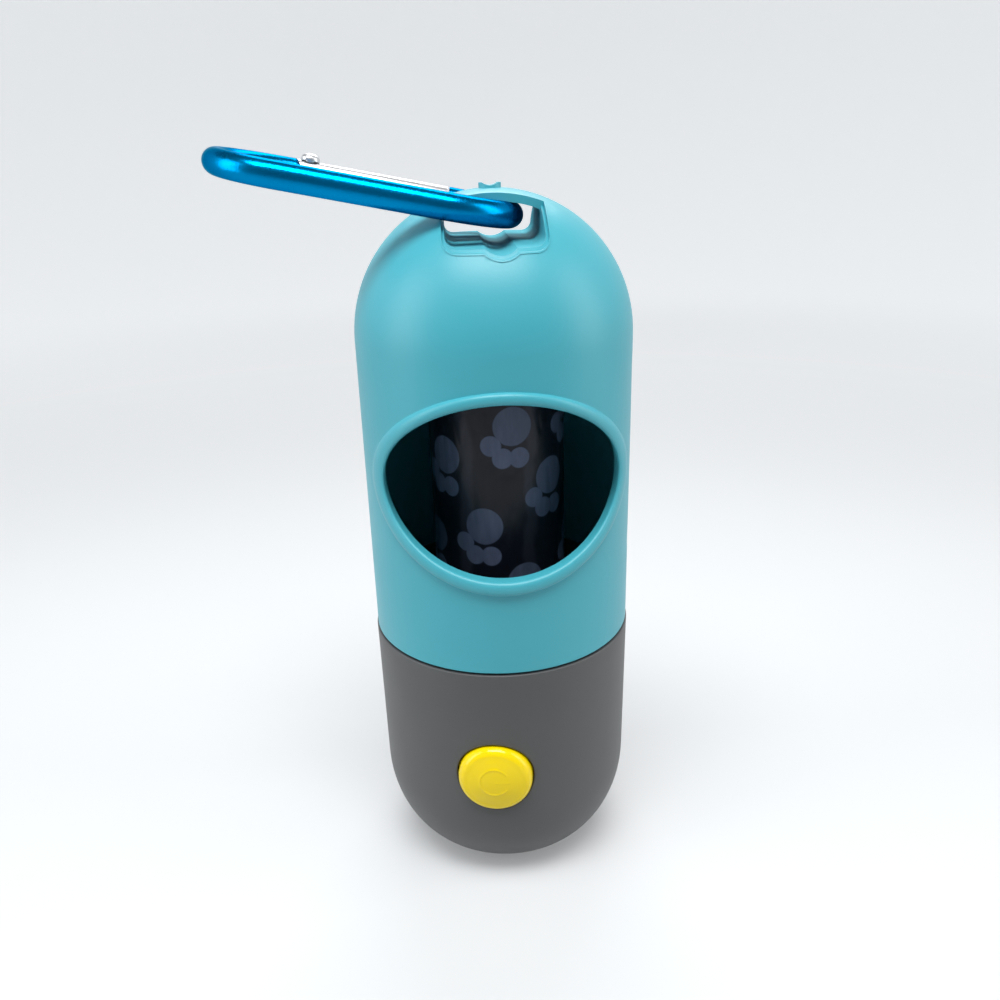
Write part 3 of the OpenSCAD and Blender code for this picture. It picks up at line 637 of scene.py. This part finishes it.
def makeShell():
    s = shell
    bm = bmesh.new()
    outer = [(s["radius"] - s["chamfer"], s["bottom"]), (s["radius"], s["bottom"] + s["chamfer"])]
    low, high = s["windowZ"] - s["patchHeight"], s["windowZ"] + s["patchHeight"]
    rows = s["patchRows"]
    levels = [low + (high - low) * i / rows for i in range(rows + 1)]
    outer += [(s["radius"], z) for z in list(s["plainRows"]) + levels]
    outer += arcPoints(s["radius"], s["domeZ"], 0, 90, s["domeRows"])
    within = s["radius"] - s["wall"]
    inner = arcPoints(within, s["domeZ"], 90, 0, s["domeRows"])
    inner += [(within, z) for z in levels[::-1] + [s["insideRow"], s["bottom"]]]
    ringOf(bm, outer + inner)
    spun(bm, s["columns"])
    width, rise, n = s["rimWidth"], s["rimRise"], s["rimSteps"]
    bead = [(width + s["rimFoot"], 0)]
    for i in range(n):
        across, up = cos(pi * i / n), sin(pi * i / n)
        bulge = abs(across) ** s["rimSquare"] * (1 if across > 0 else -1)
        bead.append((width / 2 * (1 + bulge), rise * up ** s["rimSquare"]))
    bead.append((0, s["rimEdge"]))
    oval = (s["windowWidth"] / 2, s["windowHeight"] / 2)
    angle = radians(s["patchAngle"])
    outerEdge = openHole(bm, lambda z: s["radius"], s["windowZ"], angle, s["patchHeight"], oval, bead,
                         s["rimSag"])
    innerEdge = openHole(bm, lambda z: within, s["windowZ"], angle, s["patchHeight"], oval,
                         s["insideRings"])
    bmesh.ops.bridge_loops(bm, edges=outerEdge + innerEdge)
    facedOut(bm)
    work = madeOf(bm, "moulded_shell")
    box = block((-s["slotWidth"] / 2 - s["wall"], -past, s["slotFloor"] - s["wall"]),
                (s["slotWidth"] / 2 + s["wall"], past, above))
    channel = carved(madeOf(box), ball(s["radius"] - s["wall"] / 2), "INTERSECT")
    carved(work, channel, "UNION")
    bead = carved(slotAndEye(s["lip"] + s["beadWidth"]), ball(s["radius"] + s["beadRise"]), "INTERSECT")
    reach = s["bridgeWidth"] / 2
    carved(bead, madeOf(block((-past, -reach, s["beadLow"]), (past, reach, above))))
    carved(work, bead, "UNION")
    mouth = carved(slotAndEye(s["lip"]), ball(s["radius"] - s["lipDeep"]))
    tool = carved(slotAndEye(0), mouth, "UNION")
    carved(tool, bridgeTool())
    carved(work, tool)
    top = s["radius"] + s["domeZ"]
    stub = madeOf(rod(s["stubRadius"], top - 1, top + s["stubRise"], 48))
    saddle = rod(s["stubSaddle"], -3, 3, 64, "Y", (0, top + s["stubRise"] + s["stubSaddle"] - s["stubDip"]))
    carved(stub, madeOf(saddle))
    carved(work, stub, "UNION")
    welded(work, s["sliver"])
    softened(work, s["edge"], s["corner"])
    fitted(work, "shell", "tealAbs", "upper_shell", even=True)


makeShell()

print("torch housing and button")

torch = {
    "turn": -7.5,                        # degrees from the middle of the shell's window
    "flatRadius": 9.4, "roundRadius": 22.4, "roundHeight": 17.4, "seamRadius": 22.67, "seam": 44.62,
    "wall": 1.8, "curveRows": 26, "columns": 180,
    "neckRadius": 20.75, "neckTop": 51.5, "neckInside": 18.35, "shoulder": 2,
    "grooveRadius": 19.2, "grooveLow": 47.4, "grooveHigh": 49.1,
    "lensOpening": 7.2, "lensSeat": 1.2, "lensChamfer": 0.3, "neckChamfer": 0.4,
    "tubeInside": 8.8, "tubeRadius": 10.4, "tubeTop": 13.7,
    "holeRadius": 6.52, "holeZ": 24.6, "patchAngle": 22.5, "patchHeight": 7.2, "patchRows": 16,
    "plainRows": [37, 41],
    "holeRings": [(0.5, 0), (0.3, 0), (0.16, -0.03), (0.05, -0.13), (0, -0.32)],    # outset, rise
    "insideRings": [(0.6, 0), (0, 0)],
    "bossRing": 15.7, "bossRadius": 2.4, "bossTop": 44, "pilotRadius": 0.85, "pilotDepth": 6,
    "edge": 0.2,
}
bossAngles = [radians(90 + 120 * i) for i in range(3)]
torchTurn = Matrix.Rotation(radians(torch["turn"]), 4, "Z")


def baseCurve(wall):                     # the rounded foot, from the flat base up to the straight wall
    t = torch
    steps = t["curveRows"]
    return [(t["flatRadius"] + (t["roundRadius"] - wall - t["flatRadius"]) * sin(pi / 2 * i / steps),
             wall + (t["roundHeight"] - wall) * (1 - cos(pi / 2 * i / steps))) for i in range(steps + 1)]


def wallRadius(z):                       # the housing's outside above the foot
    t = torch
    share = (z - t["roundHeight"]) / (t["seam"] - t["roundHeight"])
    return t["roundRadius"] + (t["seamRadius"] - t["roundRadius"]) * share


def makeHousing():
    t = torch
    low, high = t["holeZ"] - t["patchHeight"], t["holeZ"] + t["patchHeight"]
    levels = [low + (high - low) * i / t["patchRows"] for i in range(t["patchRows"] + 1)]
    within = t["roundRadius"] - t["wall"]
    outside = [(t["lensOpening"] + t["lensChamfer"], 0)] + baseCurve(0)
    outside += [(wallRadius(z), z) for z in levels + t["plainRows"]]
    edge = t["edge"]
    outside += [(t["seamRadius"] - edge + edge * cos(radians(a)), t["seam"] - edge + edge * sin(radians(a)))
                for a in (0, 25, 45, 65, 90)]
    neck = [(t["neckRadius"], t["seam"]), (t["neckRadius"], t["grooveLow"]),
            (t["grooveRadius"], t["grooveLow"]), (t["grooveRadius"], t["grooveHigh"]),
            (t["neckRadius"], t["grooveHigh"]),
            (t["neckRadius"], t["neckTop"] - t["neckChamfer"]),
            (t["neckRadius"] - t["neckChamfer"], t["neckTop"]),
            (t["neckInside"], t["neckTop"]), (t["neckInside"], t["seam"] - t["shoulder"])]
    inside = [(within, t["seam"] - t["shoulder"])] + [(within, z) for z in reversed(levels)]
    inside += [p for p in reversed(baseCurve(t["wall"])) if p[0] > t["tubeRadius"] + 0.3]
    tube = [(t["tubeRadius"], t["wall"] + 0.05), (t["tubeRadius"], t["tubeTop"]),
            (t["tubeInside"], t["tubeTop"]), (t["tubeInside"], t["lensSeat"]),
            (t["lensOpening"], t["lensSeat"]), (t["lensOpening"], t["lensChamfer"])]
    bm = bmesh.new()
    ringOf(bm, outside + neck + inside + tube)
    spun(bm, t["columns"])
    angle = radians(t["patchAngle"])
    size = (t["holeRadius"], t["holeRadius"])
    outer = openHole(bm, wallRadius, t["holeZ"], angle, t["patchHeight"], size, t["holeRings"])
    inner = openHole(bm, lambda z: within, t["holeZ"], angle, t["patchHeight"], size, t["insideRings"])
    bmesh.ops.bridge_loops(bm, edges=outer + inner)
    facedOut(bm)
    work = madeOf(bm, "moulded_housing")
    solid = turned(outside + [(t["neckInside"] + 1, t["seam"]), (0, t["seam"]), (0, 0)], 0, 120)
    for a in bossAngles:
        spot = (t["bossRing"] * cos(a), t["bossRing"] * sin(a))
        boss = madeOf(rod(t["bossRadius"], 0.6, t["bossTop"], 48, "Z", spot))
        carved(boss, madeOf(solid.copy()), "INTERSECT")
        carved(work, boss, "UNION")
        pilot = rod(t["pilotRadius"], t["bossTop"] - t["pilotDepth"], t["bossTop"] + 1, 24, "Z", spot)
        carved(work, madeOf(pilot))
    solid.free()
    work.data.transform(torchTurn)
    fitted(work, "torch", "greyAbs", "torch_housing", sharp=40)


push = {
    "radius": 6.3, "face": 24.5, "crown": 0.8, "edge": 1.9, "wall": 1.2, "height": 24.58,
    "edgeIn": 0.8, "edgeDown": 0.9,      # how far the rounding reaches, as shares of edge
    "edgeAngles": range(12, 91, 6),      # the rounding's rings, from the crown's slope to upright
    "under": 0.4,                        # how much thicker than its wall the cap is under the crown
    "flangeRadius": 7.6, "flangeOut": 18.85, "flangeThick": 1.0, "postRadius": 2.1,
    "markRadius": 2.5, "markGap": 34,    # the power mark: an open ring, and half of its gap in degrees
    "markLine": 0.3, "markRise": 0.07, "markLow": 0.2, "markHigh": 2.6, "markUp": 0.4,
}
outward = torchTurn @ Matrix.Translation((0, 0, push["height"] * mm)) @ Matrix.Rotation(radians(90), 4, "X")


def crownHeight(r):                      # the button's face, measured out from the dispenser's axis
    rim = push["radius"] - push["edge"] * push["edgeIn"]
    return push["face"] - push["crown"] * (r / rim) ** 2


def makeButton():
    p = push
    inward, down = p["edge"] * p["edgeIn"], p["edge"] * p["edgeDown"]
    rim = p["radius"] - inward
    face = [(rim * i / 14, crownHeight(rim * i / 14)) for i in range(15)]
    low = face[-1][1]
    corner = [(rim + inward * sin(radians(a)), low - down * (1 - cos(radians(a)))) for a in p["edgeAngles"]]
    back = p["flangeOut"] - p["flangeThick"]
    under = low - p["wall"] - p["under"]
    points = face + corner + [(p["radius"], p["flangeOut"]), (p["flangeRadius"], p["flangeOut"]),
                              (p["flangeRadius"], back), (p["radius"] - p["wall"], back),
                              (p["radius"] - p["wall"], under), (p["postRadius"], under),
                              (p["postRadius"], back), (0, back)]
    work = madeOf(turned(points, 0, 120), "push_button")
    mark = bmesh.new()                   # an open ring, and a bar in its gap, both to the right
    bmesh.ops.create_circle(mark, segments=16, radius=p["markLine"] * mm)
    tipped(mark, 90, "X")
    bmesh.ops.translate(mark, verts=mark.verts, vec=(p["markRadius"] * mm, 0, 0))
    tipped(mark, 90 + p["markGap"], "Z")
    bmesh.ops.spin(mark, geom=mark.verts[:] + mark.edges[:], cent=(0, 0, 0), axis=(0, 0, 1), dvec=(0, 0, 0),
                   angle=radians(360 - 2 * p["markGap"]), steps=64)
    bmesh.ops.holes_fill(mark, edges=mark.edges)
    bar = rod(p["markLine"], p["markLow"], p["markHigh"], 16)
    tipped(bar, -90, "X")
    for piece in (mark, bar):
        tipped(piece, -90, "Z")
        bmesh.ops.translate(piece, verts=piece.verts, vec=(0, p["markUp"] * mm, 0))
        for v in piece.verts:
            r = v.co.to_2d().length / mm
            v.co.z += (crownHeight(r) - p["markLine"] + p["markRise"]) * mm
        facedOut(piece)
        carved(work, madeOf(piece), "UNION")
    work.data.transform(outward)
    fitted(work, "button", "yellowButton", "button_cap", sharp=40)


makeHousing()
makeButton()

print("carabiner")

hook = {
    "lean": 11.606458, "x": -18.841978, "z": 118.406618,
    "barRadius": 2.0, "halfWidth": 10.7, "arcX": 11.7, "sides": 48, "arcSteps": 56,
    "rivetX": -10.2, "tipX": 12.3, "lap": 3.0, "lapZ": 0.3, "gap": 0.3,
    "tongueThick": 1.4, "tongueRadius": 1.9, "forkGap": 1.6, "forkFloor": -7.9, "gateRadius": 1.98,
    "boreRadius": 0.85, "boreLength": 9, "rivetRadius": 0.8, "headRadius": 1.5, "headRise": 1.1, "edge": 0.12,
    "headSide": 0.25, "play": 0.05, "reach": 4, "far": 5,    # play round the rivet, and how far tools reach
}
loopFrame = Matrix.Translation((hook["x"] * mm, 0, hook["z"] * mm))
loopFrame = loopFrame @ Matrix.Rotation(radians(hook["lean"]), 4, "Y")


def alongX(bm, x, y):                    # lays a bar that stands on z down along x, and moves it
    tipped(bm, 90, "Y")
    bmesh.ops.translate(bm, verts=bm.verts, vec=(x * mm, y * mm, 0))
    return bm


def rivetHole(spot):
    h = hook
    return madeOf(rod(h["rivetRadius"] + h["play"], -h["reach"], h["reach"], 32, "Z", spot))


def makeHookBar():
    h = hook
    bm = bmesh.new()
    bmesh.ops.create_circle(bm, segments=h["sides"], radius=h["barRadius"] * mm)
    alongX(bm, h["rivetX"] + h["barRadius"], h["halfWidth"])
    rim = bm.verts[:] + bm.edges[:]

    def straight(rim, length):
        loop = [g for g in rim if isinstance(g, bmesh.types.BMEdge)]
        made = bmesh.ops.extrude_edge_only(bm, edges=loop)["geom"]
        bmesh.ops.translate(bm, verts=vertsIn(made), vec=(length * mm, 0, 0))
        return [g for g in made if not isinstance(g, bmesh.types.BMFace)]

    def bend(rim, x):
        return bmesh.ops.spin(bm, geom=rim, cent=(x * mm, 0, 0), axis=(0, 0, 1), dvec=(0, 0, 0), angle=pi,
                              steps=h["arcSteps"])["geom_last"]
    rim = straight(rim, -h["arcX"] - h["rivetX"] - h["barRadius"])
    rim = bend(rim, -h["arcX"])
    rim = straight(rim, 2 * h["arcX"])
    rim = bend(rim, h["arcX"])
    straight(rim, h["tipX"] - h["lap"] + h["gap"] - h["arcX"])
    bmesh.ops.holes_fill(bm, edges=bm.edges)
    facedOut(bm)
    work = madeOf(bm, "hook_bar")
    wide, reach, far = h["halfWidth"], h["reach"], h["far"]
    spot = (h["rivetX"], wide)
    tongue = h["tongueThick"] / 2
    # the bar beyond the tongue's round end, the fork's room, the rivet's hole and the lap at the nose
    nose = madeOf(block((h["rivetX"], wide - reach, -reach), (h["rivetX"] + reach, wide + reach, reach)))
    carved(nose, madeOf(rod(h["tongueRadius"], -far, far, 64, "Z", spot)))
    carved(work, nose)
    for low, high in ((-far, -tongue), (tongue, far)):
        carved(work, madeOf(rod(h["barRadius"] + h["gap"], low, high, 64, "Z", spot)))
    carved(work, rivetHole(spot))
    carved(work, madeOf(block((h["tipX"] - h["lap"], wide - reach, h["lapZ"] - h["gap"] / 2),
                              (h["tipX"] + h["gap"], wide + reach, reach))))
    softened(work, h["edge"], 40, 2)
    work.data.transform(loopFrame)
    fitted(work, "carabiner", "blueAnodised", "carabiner_body", sharp=40)


def makeGate():
    h = hook
    wide, reach, far = h["halfWidth"], h["reach"], h["far"]
    start = h["rivetX"] - h["barRadius"]
    work = madeOf(alongX(rod(h["gateRadius"], start, h["tipX"], 64), 0, wide), "hook_gate")
    spot = (h["rivetX"], wide)
    end = madeOf(block((start - 1, wide - reach, -reach), (h["rivetX"], wide + reach, reach)))
    carved(end, madeOf(rod(h["barRadius"], -far, far, 64, "Z", spot)))
    carved(work, end)
    half = h["forkGap"] / 2
    fork = block((start - 1, wide - reach, -half), (h["forkFloor"], wide + reach, half))
    carved(work, madeOf(fork))
    bore = rod(h["boreRadius"], h["forkFloor"] - 0.1, h["forkFloor"] + h["boreLength"], 32)
    carved(work, madeOf(alongX(bore, 0, wide)))
    carved(work, rivetHole(spot))
    lap = block((h["tipX"] - h["lap"], wide - reach, -reach), (h["tipX"] + 1, wide + reach, h["lapZ"]))
    carved(work, madeOf(lap))
    softened(work, h["edge"], 40, 2)
    work.data.transform(loopFrame)
    fitted(work, "gate", "bareMetal", "carabiner_gate", sharp=40)


def makeRivet():
    h = hook
    top, side = h["barRadius"] + h["play"], h["headSide"]
    head = [(h["headRadius"] * cos(radians(a)), top + side + (h["headRise"] - side) * sin(radians(a)))
            for a in range(0, 90, 15)]
    half = [(h["rivetRadius"], 0), (h["rivetRadius"], top), (h["headRadius"], top)] + head
    half += [(0, top + h["headRise"])]
    points = [(r, -z) for r, z in reversed(half[1:])] + half
    bm = turned(points, 0, 48, closed=False)
    bmesh.ops.translate(bm, verts=bm.verts, vec=(h["rivetX"] * mm, h["halfWidth"] * mm, 0))
    work = madeOf(bm, "hook_rivet")
    work.data.transform(loopFrame)
    fitted(work, "carabiner", "bareMetal", "gate_rivet", sharp=40)


makeHookBar()
makeGate()
makeRivet()

print("roll of bags")

roll = {
    "radius": 11.6, "low": 46.3, "high": 103.3, "inset": 0.2, "edge": 0.8, "columns": 240, "rows": 170,
    "coreRadius": 7.0, "coreWall": 0.8, "coreEdge": 0.12,
    # the film's slack: long soft flutes, and creases that are stronger near both ends
    "dent": 0.32, "flute": (2.2, 0.035), "crease": (5.0, 0.16),    # how fine, round the roll and up it
    "apart": 7, "bend": 0.7, "gain": 2.2, "middle": 0.25, "upperEnd": 12, "lowerEnd": 8,
}


def makeFilm():
    r = roll
    bm = bmesh.new()
    low, high = r["low"] + r["inset"], r["high"] - r["inset"]
    edge = r["edge"]
    side = [(r["radius"], low + edge + (high - low - 2 * edge) * i / r["rows"]) for i in range(r["rows"] + 1)]
    bottom = [(r["coreRadius"] + 0.02, low + 0.3), (r["coreRadius"] + 0.4, low), (r["radius"] - edge, low)]
    bottom += [(r["radius"] - edge + edge * sin(radians(a)), low + edge - edge * cos(radians(a)))
               for a in (30, 60)]
    top = [(a, low + high - z) for a, z in reversed(bottom)]
    ringOf(bm, bottom + side + top)
    spun(bm, r["columns"])
    facedOut(bm)
    sheet = bm.loops.layers.uv.new("sheet")
    for face in bm.faces:
        middle = face.calc_center_median()
        around = atan2(middle.x, -middle.y)             # nothing at the front, where u starts
        for corner in face.loops:
            a = atan2(corner.vert.co.x, -corner.vert.co.y)
            a += 2 * pi * round((around - a) / (2 * pi))
            corner[sheet].uv = (a * r["radius"] * mm, corner.vert.co.z - r["low"] * mm)
    fluteRound, fluteUp = r["flute"]
    creaseRound, creaseUp = r["crease"]
    for v in bm.verts:
        radius = v.co.to_2d().length
        if radius < (r["radius"] - 0.5) * mm:
            continue
        a, z = atan2(v.co.y, v.co.x), v.co.z / mm
        flute = noise.noise(Vector((cos(a) * fluteRound, sin(a) * fluteRound, z * fluteUp)))
        crease = noise.noise(Vector((cos(a) * creaseRound + r["apart"], sin(a) * creaseRound, z * creaseUp)))
        crease = 1 - min(1, abs(crease) ** r["bend"] * r["gain"])
        ends = max(0, (z - (r["high"] - r["upperEnd"])) / r["upperEnd"])
        ends += max(0, (r["low"] + r["lowerEnd"] - z) / r["lowerEnd"])
        dent = r["dent"] * (0.5 + 0.5 * flute) + r["dent"] * min(1, r["middle"] + ends) * crease
        v.co.x -= cos(a) * dent * mm
        v.co.y -= sin(a) * dent * mm
    work = madeOf(bm, "wound_bags")
    fitted(work, "roll", "blackFilm", "bag_film", sharp=180)


def makeCore():
    r = roll
    inner, outer = r["coreRadius"] - r["coreWall"], r["coreRadius"]
    points = [(inner, r["low"]), (outer, r["low"]), (outer, r["high"]), (inner, r["high"])]
    work = madeOf(turned(points, r["coreEdge"], 96), "core_tube")
    fitted(work, "roll", "coreCard", "roll_core", sharp=40)


makeFilm()
makeCore()

print("inner pieces of the torch")

cover = {
    "radius": 18.2, "low": 44, "top": 46, "spigotRadius": 5.6, "spigotWall": 1.4, "spigotTop": 54, "lead": 1,
    "shankHole": 1.2, "headHole": 2, "headDepth": 1.1, "edge": 0.2,
}


def makeCover():
    c = cover
    within = c["spigotRadius"] - c["spigotWall"]
    points = [(0, c["low"]), (c["radius"], c["low"]), (c["radius"], c["top"]),
              (c["spigotRadius"], c["top"]), (c["spigotRadius"], c["spigotTop"] - c["lead"]),
              (c["spigotRadius"] - c["lead"], c["spigotTop"]), (within, c["spigotTop"]),
              (within, c["top"]), (0, c["top"])]
    work = madeOf(turned(points, c["edge"], 144, closed=False), "battery_lid")
    for a in bossAngles:
        spot = (torch["bossRing"] * cos(a), torch["bossRing"] * sin(a))
        for radius, low in ((c["shankHole"], c["low"] - 1), (c["headHole"], c["top"] - c["headDepth"])):
            carved(work, madeOf(rod(radius, low, c["top"] + 1, 48, "Z", spot)))
    work.data.transform(torchTurn)
    fitted(work, "torch", "greyAbs", "battery_cover", sharp=40)


screw = {
    "low": 38.5, "tip": 0.5, "shank": 0.8, "head": 1.8, "rim": 0.45, "crown": 1.4, "crownLow": 0.1,
    "crossLong": 1.1, "crossWide": 0.25, "crossDeep": 0.6, "edge": 0.05,
    "driven": 1.7,                       # turns each cross to its own angle
}


def makeScrews():
    w = screw
    top = cover["top"]
    under = top - cover["headDepth"]
    points = [(0, w["low"]), (w["tip"], w["low"]), (w["shank"], w["low"] + 1), (w["shank"], under),
              (w["head"], under), (w["head"], top - w["rim"]), (w["crown"], top - w["crownLow"]), (0, top)]
    one = madeOf(turned(points, w["edge"], 48, closed=False), "screw")
    for x, y in ((w["crossLong"], w["crossWide"]), (w["crossWide"], w["crossLong"])):
        carved(one, madeOf(block((-x, -y, top - w["crossDeep"]), (x, y, top + 1))))
    bm = bmesh.new()
    for a in bossAngles:
        mesh = one.data.copy()
        spot = Matrix.Translation((torch["bossRing"] * cos(a) * mm, torch["bossRing"] * sin(a) * mm, 0))
        mesh.transform(torchTurn @ spot @ Matrix.Rotation(w["driven"] * a, 4, "Z"))
        bm.from_mesh(mesh)
        bpy.data.meshes.remove(mesh)
    bpy.data.objects.remove(one)
    fitted(madeOf(bm, "lid_screws"), "torch", "screwSteel", "cover_screws", sharp=40)


seal = {"radius": 20.05, "z": 48.25, "half": 0.8, "sides": 24, "columns": 180}


def makeSeal():
    angles = [2 * pi * i / seal["sides"] for i in range(seal["sides"])]
    section = [(seal["radius"] + seal["half"] * cos(a), seal["z"] + seal["half"] * sin(a)) for a in angles]
    work = madeOf(turned(section, 0, seal["columns"]), "seal_ring")
    fitted(work, "seal", "blackRubber", "neck_seal", sharp=180)


lamp = {
    "lensRadius": 8.5, "lensFace": 0.7, "lensSeat": 1.2, "lensTop": 2.6,
    "faceRadius": 6.2, "seatRadius": 6.9,
    "bowlRadius": 6.9, "bowlNeck": 3, "bowlLow": 2.9, "bowlTop": 9.9, "neckTop": 11.9,
    "bowlWall": 0.8, "bowlSteps": 28, "edge": 0.12,
}


def makeLamp():
    w = lamp
    points = [(0, w["lensFace"]), (w["faceRadius"], w["lensFace"]), (w["seatRadius"], w["lensSeat"]),
              (w["lensRadius"], w["lensSeat"]), (w["lensRadius"], w["lensTop"]), (0, w["lensTop"])]
    work = madeOf(turned(points, w["edge"], 120, closed=False), "lamp_lens")
    fitted(work, "torch", "clearLens", "lens", sharp=40)
    wide, narrow, steps = w["bowlRadius"], w["bowlNeck"], w["bowlSteps"]
    radii = [wide + (narrow - wide) * i / steps for i in range(steps + 1)]
    deep = (w["bowlTop"] - w["bowlLow"]) / (wide ** 2 - narrow ** 2)
    bowl = [(r, w["bowlLow"] + deep * (wide ** 2 - r * r)) for r in radii]
    back = [(r + w["bowlWall"], z) for r, z in bowl if z > w["bowlLow"] + w["bowlWall"]]
    points = bowl + [(narrow, w["neckTop"]), (narrow + w["bowlWall"], w["neckTop"])] + back[::-1]
    points += [(w["lensRadius"], w["bowlLow"] + w["bowlWall"]), (w["lensRadius"], w["bowlLow"])]
    work = madeOf(turned(points, 0, 120), "lamp_bowl")
    fitted(work, "torch", "brightReflector", "reflector", sharp=40)


cell = {
    "low": 27.2, "height": 5.4, "radius": 5.8, "capRadius": 5, "capHeight": 0.9, "roll": 0.35, "edge": 0.22,
}


def makeCells():
    c = cell
    for index in range(3):
        z = c["low"] + index * c["height"]
        step = z + c["capHeight"]
        points = [(0, z), (c["capRadius"], z), (c["capRadius"], step), (c["radius"] - c["roll"], step),
                  (c["radius"], step + c["roll"]), (c["radius"], z + c["height"]), (0, z + c["height"])]
        work = madeOf(turned(points, c["edge"], 96, closed=False), "cell_can_%d" % (index + 1))
        fitted(work, "torch", "cellCan", "button_cell_%d" % (index + 1), sharp=40)


makeCover()
makeScrews()
makeSeal()
makeLamp()
makeCells()

print("carried-over pieces")

carried = {
    "ledEpoxy": ["led"], "circuitBoard": ["led_board", "switch_board"], "whiteFrame": ["cell_frame"],
    "blackSwitch": ["switch_body", "switch_plunger"], "giltContact": ["cell_spring", "contact_plate"],
    "redInsulation": ["red_wire"], "blackInsulation": ["black_wire"],
    "bareMetal": ["gate_plunger", "gate_spring"],
}
for finish, names in carried.items():
    for name in names:
        node = nodes[name]
        node.data.materials.clear()
        node.data.materials.append(finishes[finish])

print("done")
